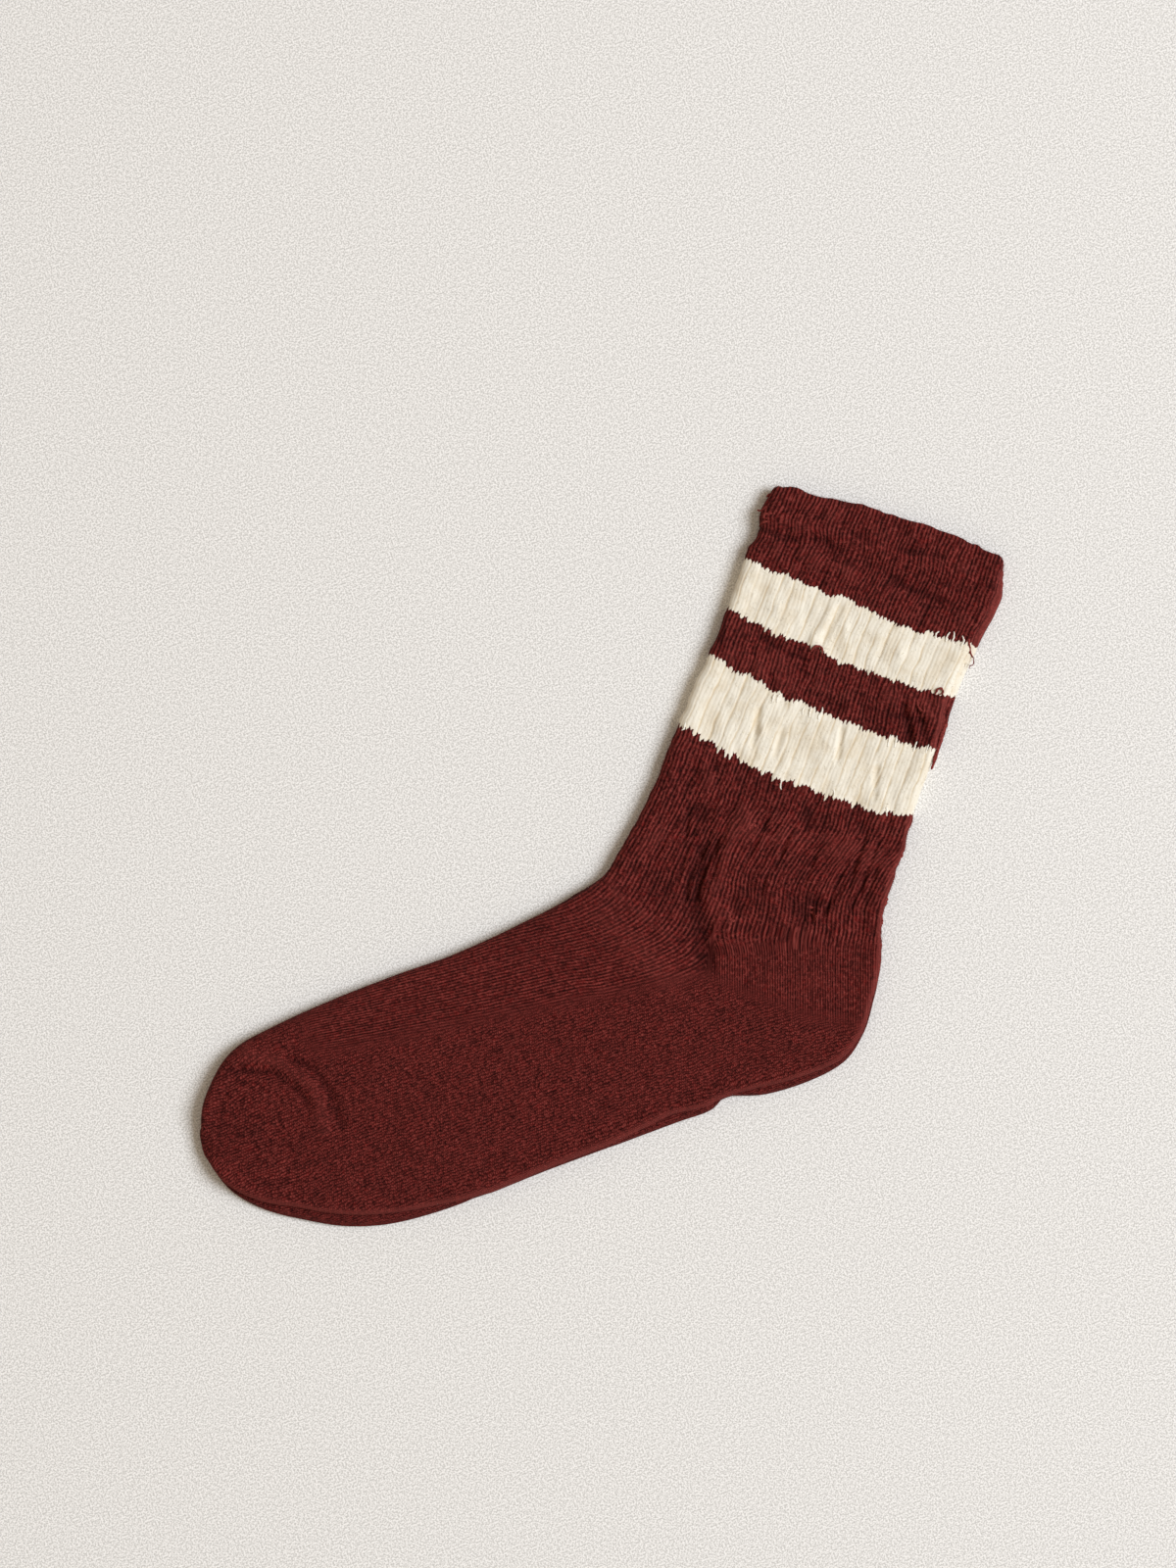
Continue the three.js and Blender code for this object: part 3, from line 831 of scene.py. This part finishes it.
def yarnGroup():
    # spun yarn is never one colour: short streaks along the knit and slow changes over it
    tree, given, result = newGroup(
        "yarn", {"Wale": 0.0, "Knit": 0.0, "Base": (0.5, 0.5, 0.5, 1), "Dark": (0.1, 0.1, 0.1, 1),
                 "Light": (0.9, 0.9, 0.9, 1), "Fleck": (0.5, 0.1, 0.1, 1), "Heather": 0.6},
        ("Color", "Fibre"))
    wale = given["Wale"]
    knit = given["Knit"]
    streaks = noise(combine(wale * 1.5, knit * 0.75), 1.0, 3.0, 0.75)
    flecks = noise(combine(wale * 0.8, knit * 0.35, 7.0), 1.0, 3.0, 0.6)
    patches = noise(combine(wale * 0.22, knit * 0.12, 3.0), 1.0, 3.0)
    colour = mixColour(remap(streaks, 0.49, 0.37) * given["Heather"], given["Base"], given["Dark"])
    colour = mixColour(remap(streaks, 0.52, 0.64) * given["Heather"], colour, given["Light"])
    colour = mixColour(remap(flecks, 0.56, 0.74, 0.0, 0.7), colour, given["Fleck"])
    colour = mixColour(remap(patches, 0.42, 0.68, 0.0, 0.3), colour, given["Dark"])
    feed(tree, {"Color": colour, "Fibre": streaks}, result)
    return tree


def stripeGroup():
    # a stripe with ragged ends: each column of stitches changes colour at its own course
    tree, given, result = newGroup(
        "stripe", {"Wale": 0.0, "Knit": 0.0, "From": 30.0, "To": 50.0, "Slant": 0.0, "Ragged": 1.4,
                   "Tooth": 1.3, "Spike": 1.5},
        ("Mask",))
    wale = given["Wale"]
    knit = given["Knit"]
    middle = wale.calc("FLOOR") + 0.5
    off = (wale - middle).calc("ABSOLUTE")
    slant = wale * (given["Slant"] / (sock["wales"] / 2.0))
    edges = []
    for end, seed, way in (("From", 3.7, -1.0), ("To", 9.1, 1.0)):
        pick = chance(middle, seed)
        slow = noise(combine(wale * 0.2, seed), 1.0, 2.5)
        frayed = noise(combine(wale * 3.0, knit * 0.8, seed), 1.0, 2.0)
        swing = (frayed - 0.5) * 0.9 + (slow - 0.5) * 2.6 + (pick - 0.5)
        spike = remap(pick, 0.8, 1.0) * remap(off, 0.35, 0.1) * given["Spike"]
        tooth = spike + (off - 0.25) * given["Tooth"] * -2.0
        edges.append(swing * given["Ragged"] + given[end] + slant + tooth * way)
    after = remap(knit - edges[0], -0.12, 0.12)
    before = remap(edges[1] - knit, -0.12, 0.12)
    feed(tree, {"Mask": after * before}, result)
    return tree


plainKnit = {
    "column": 0.86,     # millimetres across a column of the heel, sole and toe
    "stitch": 0.72,     # and along a stitch
}

groups = {
    "rib": ribStitchGroup(),
    "plain": plainStitchGroup(),
    "yarn": yarnGroup(),
    "stripe": stripeGroup(),
}
print("made the shader groups:", ", ".join(groups))

burgundy = {
    "base": (0.080, 0.0067, 0.0055, 1),
    "dark": (0.010, 0.0004, 0.0004, 1),
    "light": (0.265, 0.050, 0.041, 1),
    "fleck": (0.190, 0.0085, 0.0075, 1),
    "roughness": 0.95,
    "sheen": 0.08,
    "heather": 0.82,
    # painted shade in the gaps between stitches, painted highlight on the stitches' crests, and painted
    # shade in the furrows between ribs
    "gap": 1.0,
    "ridge": 0.88,
    "furrow": 0.34,
    "grain": 0.48,
    "plainGrain": 0.42,
    # painted highlight: how far the lit back fold edges go to the light colour
    "paintedEdgeLight": 0.36,
    "hollow": 0.75,           # painted shade: how far hollows go to the dark colour
    "raised": 0.15,           # and raised places to the light one, part painted light and part the fuzzier rubbed tops
    "bump": 0.75,
}

cream = {
    "base": (0.835, 0.785, 0.668, 1),
    "dark": (0.600, 0.465, 0.275, 1),
    "light": (0.880, 0.845, 0.760, 1),
    "fleck": (0.790, 0.715, 0.560, 1),
    "roughness": 0.95,
    "sheen": 0.05,
    "heather": 0.10,
    # painted shade in the gaps between stitches and tan painted shade in the furrows between ribs
    "gap": 0.02,
    "furrow": 1.0,
    "grain": 0.03,
    # painted shade: how far hollows and open furrows go to the tan dark colour
    "hollow": 0.6,
    "bump": 0.12,
}

stripes = {
    "upper": {"From": 31.2, "To": 50.4, "Slant": 0.6, "Ragged": 1.3, "Tooth": 0.8, "Spike": 0.7},
    "lower": {"From": 68.3, "To": 93.6, "Slant": 3.6, "Ragged": 1.6, "Tooth": 0.9, "Spike": 1.0},
}


def useGroup(tree, key, **values):
    node = tree.nodes.new("ShaderNodeGroup")
    node.node_tree = groups[key]
    feed(tree, values, node)
    return {output.name: Value(tree, output) for output in node.outputs}


def startMaterial(name, look):
    material = bpy.data.materials.new(name)
    material.use_nodes = True
    tree = material.node_tree
    shader = tree.nodes["Principled BSDF"]
    feed(tree, {"Roughness": look["roughness"], "Sheen Weight": look["sheen"],
                "Sheen Roughness": 0.5, "Sheen Tint": look["light"],
                "Specular IOR Level": 0.12}, shader)
    return material, tree, shader


def useYarn(tree, wale, knit, look):
    return useGroup(tree, "yarn", Wale=wale, Knit=knit, Base=look["base"], Dark=look["dark"],
                    Light=look["light"], Fleck=look["fleck"], Heather=look["heather"])


def sockMaterial():
    material, tree, shader = startMaterial("burgundyAndCreamKnit", burgundy)
    wale, knit, across, run, ribbed, heel, relief, paintedEdgeLight = (
        addNode(tree, "Attribute", {}, "Fac", attribute_name=name)
        for name in ("wale", "knit", "across", "run", "ribbed", "heel", "relief", "paintedEdgeLight"))
    rib = useGroup(tree, "rib", Wale=wale, Knit=knit)
    heelRib = useGroup(tree, "rib", Wale=wale * heelColumns["finer"], Knit=knit,
                       Stitch=heelColumns["stitch"])
    plain = useGroup(tree, "plain", Across=across, Knit=run)
    inHeel = remap(heel, 0.45, 0.95, 0.0, 0.85)
    gap, ridge, grain, height = (
        mixValue(ribbed, plain[key], mixValue(inHeel, rib[key], heelRib[key]))
        for key in ("Gap", "Ridge", "Grain", "Height"))
    column = mixValue(ribbed, across / plainKnit["column"], wale)
    length = mixValue(ribbed, run, knit)
    red = useYarn(tree, column, length, burgundy)
    white = useYarn(tree, column, length, cream)
    masks = [useGroup(tree, "stripe", Wale=wale, Knit=knit, **stripe)["Mask"]
             for stripe in stripes.values()]
    inCream = masks[0].calc("MAXIMUM", masks[1])
    dull = remap(grain, 0.42, 0.0)
    bright = remap(grain, 0.62, 1.0)
    furrow = rib["Furrow"] * ribbed
    # painted shade in hollows, and raised places painted lighter: part painted light, part the fuzzier
    # rubbed tops of the knit
    low = remap(relief, 0.0, -1.2)
    high = remap(relief, 0.1, 1.0)

    spread = mixValue(ribbed, burgundy["plainGrain"], burgundy["grain"])
    shade = (low * 0.6 + furrow * burgundy["furrow"]).calc("MINIMUM", 1.0)
    # the grain's dull and bright stitches are the yarn's own tone; the rest is painted: highlights on
    # stitch crests, shade in gaps, hollows and furrows, light on raised places and on the lit fold edges
    redColour = red["Color"]
    for share, shown in (
            (dull * spread, "dark"),
            (bright * spread * 0.5, "fleck"),
            (ridge * burgundy["ridge"], "light"),
            (gap * burgundy["gap"], "dark"),
            (shade * burgundy["hollow"], "dark"),
            (high * burgundy["raised"], "light"),
            (paintedEdgeLight * burgundy["paintedEdgeLight"], "light")):
        redColour = mixColour(share, redColour, burgundy[shown])

    # painted shade in the cream: tan in hollows and open furrows, and dark in the gaps between stitches;
    # the dull grain is the yarn's own tone
    opened = remap(noise(combine(wale * 0.4, knit * 0.08), 1.0, 1.0), 0.35, 0.6, 0.3, 1.0)
    tan = (low * 0.55 + furrow * opened * cream["furrow"]).calc("MINIMUM", 1.0)
    whiteColour = white["Color"]
    for share in (gap * cream["gap"], dull * cream["grain"], tan * cream["hollow"]):
        whiteColour = mixColour(share, whiteColour, cream["dark"])

    strength = remap(inCream, 0.0, 1.0, burgundy["bump"], cream["bump"])
    bump = addNode(tree, "Bump", {"Strength": strength, "Distance": 0.3 * mm,
                                  "Height": red["Fibre"] * 0.8 + height})
    feed(tree, {"Base Color": mixColour(inCream, redColour, whiteColour), "Normal": bump}, shader)
    return material


def grainMaterial(name, look, grain, first, second):
    # two colours in a fine grain: the first below the grain's low value, the second above its high one
    material, tree, shader = startMaterial(name, look)
    place = addNode(tree, "TexCoord", {}, "Object")
    shown = noise(place, grain["scale"], 2.0, grain["roughness"])
    share = remap(shown, grain["low"], grain["high"])
    feed(tree, {"Base Color": mixColour(share, first, second)}, shader)
    return material


# streaks in yarn that has come away from the knit
looseGrain = {"scale": 2600.0, "roughness": 0.55, "low": 0.35, "high": 0.6}


looseSeed = 5
looseYarn = {
    "burgundy": {
        # x, y and height above the knit of each point, then the thickness
        "cuffTuft": ([(99.0, 92.5, -0.6), (96.0, 93.6, -0.2), (94.2, 93.2, 0.3), (93.0, 93.8, 0.0)], 0.5),
        "cuffTuftLow": ([(96.5, 88.0, -0.6), (93.5, 89.0, -0.1), (91.6, 88.4, 0.2)], 0.55),
        "cuffTuftHigh": ([(101.5, 96.0, -0.6), (99.0, 97.4, -0.1), (97.6, 97.0, 0.2)], 0.5),
        "cuffLoop": ([(97.5, 90.4, -0.6), (94.8, 91.4, 0.0), (94.0, 90.4, 0.2), (96.0, 89.6, -0.5)], 0.5),
        "bandThread": ([(146, 26.5, -0.6), (144.9, 23.5, 0.1), (144.6, 20.5, 0.2),
                        (144.9, 18.4, 0.3)], 0.42),
        "threadEnd": ([(144.9, 18.4, 0.3), (144.2, 16.6, 0.5), (142.8, 16.4, 0.5),
                       (142.2, 15.6, 0.3)], 0.2),
        "sliver": ([(125.5, -1.5, -0.2), (122.5, -5.6, 0.1), (119.6, -9.6, 0.2),
                    (117.2, -12.4, 0.3)], 0.75),
        "sliverBack": ([(127.8, 1.0, -0.6), (124.8, -3.0, 0.0), (122.6, -6.2, 0.1)], 0.8),
        "curl": ([(92.5, 41.0, -0.2), (94.4, 42.0, 0.5), (96.2, 41.3, 0.6), (96.2, 39.4, 0.4),
                  (95, 38.2, 0)], 0.42),
        "rightCurl": ([(127.4, 11.4, 0.0), (128.8, 12.8, 0.5), (130.3, 12.6, 0.6), (130.2, 11.1, 0.5),
                       (128.9, 10.8, 0.1)], 0.4),
        "bandLoop": ([(121.0, 12.0, 0.0), (120.4, 9.6, 0.7), (121.4, 7.2, 0.6), (122.4, 8.6, 0.0)], 0.42),
        "calfLoop1": ([(96.2, -34.4, -1.2), (96.6, -35.9, -0.7), (95.4, -37.4, -0.7),
                       (94.0, -38.0, -1.2)], 0.8),
        "calfLoop2": ([(86.0, -47.6, -1.2), (85.9, -49.2, -0.7), (84.9, -50.4, -0.7),
                       (83.8, -51.4, -1.2)], 0.8),
        "calfLoop3": ([(82.0, -53.8, -1.2), (82.0, -55.2, -0.7), (81.2, -56.4, -0.7),
                       (80.2, -57.6, -1.2)], 0.75),
        "snagLoop": ([(58.8, -43.6, -0.7), (60.4, -44.2, -0.35), (61.2, -46.0, -0.35),
                      (60.2, -47.4, -0.7)], 0.7),
        "snagLoop2": ([(60.0, -41.8, -0.6), (61.4, -42.8, -0.3), (62.4, -44.2, -0.6)], 0.6),
        "shinSnag": ([(34.0, -33.4, -0.6), (32.8, -35.0, -0.4), (33.2, -36.6, -0.4),
                      (34.6, -37.2, -0.6)], 0.65),
        "shinSnag2": ([(52.8, -9.0, -0.5), (51.6, -8.0, -0.3), (50.4, -8.8, -0.3),
                       (50.6, -10.2, -0.5)], 0.6),
    },
    "cream": {
        "stripeTuft1": ([(139.4, 26.2, -0.2), (141.0, 28.0, 0.15), (141.6, 29.6, 0.0)], 0.34),
        "stripeTuft2": ([(137.6, 27.4, -0.2), (138.8, 29.0, 0.15), (140.2, 29.9, 0.0)], 0.32),
        "stripeTuft3": ([(142.0, 24.0, -0.2), (143.6, 25.4, 0.15), (143.8, 27.2, 0.0)], 0.34),
        "stripeTuft4": ([(134.6, 29.6, -0.2), (135.4, 31.0, 0.1), (136.8, 31.6, 0.0)], 0.3),
        "midTuft1": ([(75.0, 28.8, -0.2), (76.2, 30.4, 0.15), (77.6, 31.2, 0.0)], 0.36),
        "midTuft2": ([(73.2, 29.0, -0.2), (74.4, 30.6, 0.15), (75.4, 31.8, 0.0)], 0.32),
        "midLoop": ([(86.2, 17.0, -0.3), (87.0, 19.0, 0.1), (88.6, 20.0, 0.2), (89.4, 21.4, 0.1)], 0.4),
        "midTuft3": ([(83.6, 19.6, -0.2), (84.6, 21.4, 0.15), (85.6, 22.6, 0.0)], 0.34),
        "midTuft4": ([(81.8, 21.4, -0.2), (82.6, 23.0, 0.15), (83.8, 24.0, 0.0)], 0.3),
        "backTuft1": ([(105.6, 0.4, -0.2), (106.8, 2.4, 0.15), (108.0, 4.0, 0.0)], 0.36),
        "backTuft2": ([(107.6, -0.6, -0.2), (109.0, 1.4, 0.15), (110.0, 2.8, 0.0)], 0.34),
        "backTuft3": ([(113.4, -4.4, -0.2), (114.6, -2.8, 0.15), (115.8, -1.6, 0.0)], 0.34),
        "backTuft4": ([(117.0, -6.6, -0.2), (118.2, -5.0, 0.15), (119.2, -4.0, 0.0)], 0.32),
        "downTuft1": ([(82.6, -6.4, -0.2), (82.4, -8.2, 0.15), (81.2, -9.4, 0.0)], 0.32),
        "downTuft2": ([(97.8, -18.8, -0.2), (97.0, -20.6, 0.15), (96.6, -22.0, 0.0)], 0.34),
        "downTuft3": ([(66.8, 2.6, -0.2), (65.8, 1.0, 0.15), (65.6, -0.2, 0.0)], 0.3),
        "downTuft4": ([(43.0, 33.6, -0.2), (41.6, 31.8, 0.15), (40.6, 31.4, 0.0)], 0.32),
        "threadCream": ([(140.6, 16.0, 0.0), (142.0, 17.6, 0.4), (143.4, 17.0, 0.4)], 0.2),
    },
}

fuzz = {
    "burgundy": 5200,         # strands on the faces of each colour
    "cream": 1500,
    "edge": 900,              # strands on the folded edges
    "thickness": 0.028,
    "length": (0.5, 1.7),
    "lift": (0.1, 0.5),
    "seed": 8,
    "inset": 1.0,                        # cream fuzz stays this far inside its stripe
    "clear": [(29.5, 52.5), (66, 96)],   # no burgundy fuzz grows here, round each stripe
}


def smoothRun(points, steps):
    # a rounded line through the points
    points = np.asarray(points, float)
    padded = np.concatenate([[2 * points[0] - points[1]], points, [2 * points[-1] - points[-2]]])
    line = []
    for a, b, c, d in zip(padded[:-3], padded[1:-2], padded[2:-1], padded[3:]):
        for t in np.arange(steps) / steps:
            line.append(0.5 * (2 * b + (c - a) * t + (2 * a - 5 * b + 4 * c - d) * t**2
                               + (3 * b - a - 3 * c + d) * t**3))
    return np.array(line + [points[-1]])


def addStrand(points, faces, line, radii, sides):
    # a closed tapering tube along a line
    line = np.asarray(line, float)
    ways = np.gradient(line, axis=0)
    ways /= np.maximum(np.linalg.norm(ways, axis=1)[:, None], 1e-9)
    side = np.cross(ways, (0.13, 0.21, 0.97))   # square to the line and to a nearly upright one
    side /= np.maximum(np.linalg.norm(side, axis=1)[:, None], 1e-9)
    other = np.cross(ways, side)
    first = len(points)
    for place, radius, a, b in zip(line, radii, side, other):
        for step in range(sides):
            turn = 2 * math.pi * step / sides
            points.append(place + radius * (a * math.cos(turn) + b * math.sin(turn)))
    for ring in range(len(line) - 1):
        for step in range(sides):
            after = (step + 1) % sides
            low = first + ring * sides
            faces.append((low + step, low + after, low + sides + after, low + sides + step))
    faces.append(tuple(range(first + sides - 1, first - 1, -1)))
    last = first + (len(line) - 1) * sides
    faces.append(tuple(range(last, last + sides)))


def surfaceAt(tree, x, y):
    # the knit straight below a place, or else the nearest knit
    hit, normal, _, _ = tree.ray_cast(Vector((x * mm, y * mm, 0.1)), Vector((0, 0, -1)))
    if hit is None:
        near, normal, _, _ = tree.find_nearest(Vector((x * mm, y * mm, 4 * mm)))
        return np.array((x, y, near.z / mm)), np.array(normal)
    return np.array(hit) / mm, np.array(normal)


def looseEnds(colour, surface):
    points, faces = [], []
    draw = np.random.default_rng(looseSeed)
    for run, thickness in looseYarn[colour].values():
        placed = []
        for x, y, lift in run:
            spot, _ = surfaceAt(surface, x, y)
            placed.append((x, y, max(spot[2] + lift, thickness + 0.05)))
        line = smoothRun(placed, 5)
        line[1:-1] += draw.normal(0, 0.05, line[1:-1].shape)
        share = np.linspace(0, 1, len(line))
        radii = thickness * (1 - 0.55 * share**3) * (1 + 0.16 * draw.normal(size=len(line)))
        addStrand(points, faces, line, np.maximum(radii, 0.06), 8)
    return makeMesh(colour + "LooseYarn", points, faces, {})


def readPoints(mesh, key):
    values = np.empty(len(mesh.vertices) * 3)
    mesh.vertices.foreach_get(key, values)
    return values.reshape(-1, 3)


def readFact(mesh, name):
    values = np.empty(len(mesh.vertices), np.float32)
    mesh.attributes[name].data.foreach_get("value", values)
    return values


def growHair(draw, root, normal):
    # three points from just under the surface to the free end
    sideways = np.cross(normal, draw.normal(size=3))
    sideways /= max(np.linalg.norm(sideways), 1e-6)
    length = draw.uniform(*fuzz["length"])
    lift = draw.uniform(*fuzz["lift"])
    curl = np.cross(normal, sideways) * draw.normal(0, 0.3) * length
    middle = root + sideways * length * 0.45 + normal * lift + curl * 0.4
    end = root + sideways * length + normal * lift * draw.uniform(0.1, 1.0) + curl
    line = np.array([root - normal * 0.05, middle, end])
    line[:, 2] = np.maximum(line[:, 2], 0.08)
    return line


def growFuzz(knitPiece):
    mesh = knitPiece.data
    places = readPoints(mesh, "co") / mm
    normals = readPoints(mesh, "normal")
    knit = readFact(mesh, "knit")
    wale = readFact(mesh, "wale")
    facing = normals[:, 2]
    # only the outer skin above the floor carries fuzz
    outside = (facing > -0.2) & (places[:, 2] > 1.5)
    outside[knitPiece["outerPoints"]:] = False
    upper = stripes["upper"]
    lower = stripes["lower"]
    slant = np.where(knit < 60, upper["Slant"], lower["Slant"])
    slanted = knit - wale / (sock["wales"] / 2) * slant
    inCream = np.zeros(len(knit), bool)
    nearCream = np.zeros(len(knit), bool)
    for stripe, (clearFrom, clearTo) in zip((upper, lower), fuzz["clear"]):
        inCream |= (slanted > stripe["From"] + fuzz["inset"]) & (slanted < stripe["To"] - fuzz["inset"])
        nearCream |= (slanted > clearFrom) & (slanted < clearTo)
    draw = np.random.default_rng(fuzz["seed"])
    made = {}
    for colour, allowed in (("burgundy", ~nearCream), ("cream", inCream)):
        points, faces = [], []
        field = np.flatnonzero(outside & allowed & (facing > 0.5))
        rim = np.flatnonzero(outside & allowed & (facing < 0.45) & (knit < 140))
        rimCount = int(fuzz["edge"] * fuzz[colour] / (fuzz["burgundy"] + fuzz["cream"]))
        picks = np.concatenate([draw.choice(field, fuzz[colour]), draw.choice(rim, rimCount)])
        for index in picks:
            line = growHair(draw, places[index], normals[index])
            addStrand(points, faces, line, fuzz["thickness"] * np.array([1, 1, 0.5]), 3)
        made[colour] = makeMesh(colour + "Fuzz", points, faces, {})
    return made


view = {
    "seen": 548.8,                # millimetres of floor from the bottom to the top of the frame
    "turn": 21.0,                 # degrees that the foot slants in the frame
    "target": (3.5, 25.8),        # the place on the floor in the middle of the frame
    "tilt": 1.0,                  # degrees that the camera leans back from straight down
    "lens": 85.0,
    "sensor": 36.0,
}


def placeCamera():
    turn = math.radians(view["turn"])
    right = Vector((math.cos(turn), -math.sin(turn), 0))
    up = Vector((math.sin(turn), math.cos(turn), 0))
    tilt = math.radians(view["tilt"])
    back = Vector((0, 0, math.cos(tilt))) - up * math.sin(tilt)
    tall = view["seen"] * mm
    distance = tall * view["lens"] / view["sensor"]
    camera = bpy.data.cameras.new("camera")
    camera.lens = view["lens"]
    camera.sensor_width = view["sensor"]
    camera.clip_end = 20
    holder = bpy.data.objects.new("camera", camera)
    bpy.context.collection.objects.link(holder)
    target = Vector((view["target"][0] * mm, view["target"][1] * mm, 0))
    holder.location = target + back * distance
    holder.rotation_euler = Matrix((right, back.cross(right), back)).transposed().to_euler()
    bpy.context.scene.camera = holder
    return right, up


light = {
    "keyPower": 430.0,
    "keySize": 3.2,
    "keyReach": 6.5,
    "keyHeight": 48.0,            # degrees above the floor
    "keyFrom": 4.0,               # degrees from the frame's right towards its top
    "keyColour": (0.865, 0.917, 1.0),
    "room": (1.0, 0.84, 0.66),
    "roomStrength": 0.40,
}


def placeLights(right, up):
    around = math.radians(light["keyFrom"])
    height = math.radians(light["keyHeight"])
    level = right * math.cos(around) + up * math.sin(around)
    way = level * math.cos(height) + Vector((0, 0, math.sin(height)))
    lamp = bpy.data.lights.new("window", "AREA")
    lamp.shape = "SQUARE"
    lamp.size = light["keySize"]
    lamp.energy = light["keyPower"]
    lamp.color = light["keyColour"]
    holder = bpy.data.objects.new("window", lamp)
    holder.location = way * light["keyReach"]
    holder.rotation_euler = way.to_track_quat("Z", "Y").to_euler()
    bpy.context.collection.objects.link(holder)
    world = bpy.data.worlds.new("softRoom")
    world.use_nodes = True
    room = world.node_tree.nodes["Background"]
    room.inputs["Color"].default_value = (*light["room"], 1)
    room.inputs["Strength"].default_value = light["roomStrength"]
    bpy.context.scene.world = world


floorLook = {
    "size": 3.0,
    "colour": (0.962, 0.946, 0.910, 1),
    "speckle": (0.602, 0.591, 0.561, 1),
    "roughness": 0.9,
    "sheen": 0.0,
    "light": (1, 1, 1, 1),
}
floorGrain = {"scale": 1700.0, "roughness": 0.6, "low": 0.38, "high": 0.62}


def layFloor():
    half = floorLook["size"] / 2
    mesh = bpy.data.meshes.new("paleFloor")
    mesh.from_pydata([(-half, -half, 0), (half, -half, 0), (half, half, 0), (-half, half, 0)],
                     [], [(0, 1, 2, 3)])
    floor = bpy.data.objects.new("paleFloor", mesh)
    bpy.context.collection.objects.link(floor)
    mesh.materials.append(grainMaterial("palePaper", floorLook, floorGrain, floorLook["colour"],
                                        floorLook["speckle"]))


bpy.context.scene.view_settings.view_transform = "Standard"
right, up = placeCamera()
placeLights(right, up)
layFloor()
print("camera, lights and floor are in place")

knitPiece = knitSock()
knitPiece.data.materials.append(sockMaterial())
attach(knitPiece, "root")
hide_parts("sock")
print("knitted the sock")

surface = BVHTree.FromObject(knitPiece, bpy.context.evaluated_depsgraph_get())
fuzzPieces = growFuzz(knitPiece)
for colour, look in (("burgundy", burgundy), ("cream", cream)):
    material = grainMaterial(colour + "Yarn", look, looseGrain, look["base"], look["light"])
    for piece in (looseEnds(colour, surface), fuzzPieces[colour]):
        piece.data.materials.append(material)
        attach(piece, "root")
        print(piece.name + ":", len(piece.data.vertices), "points")
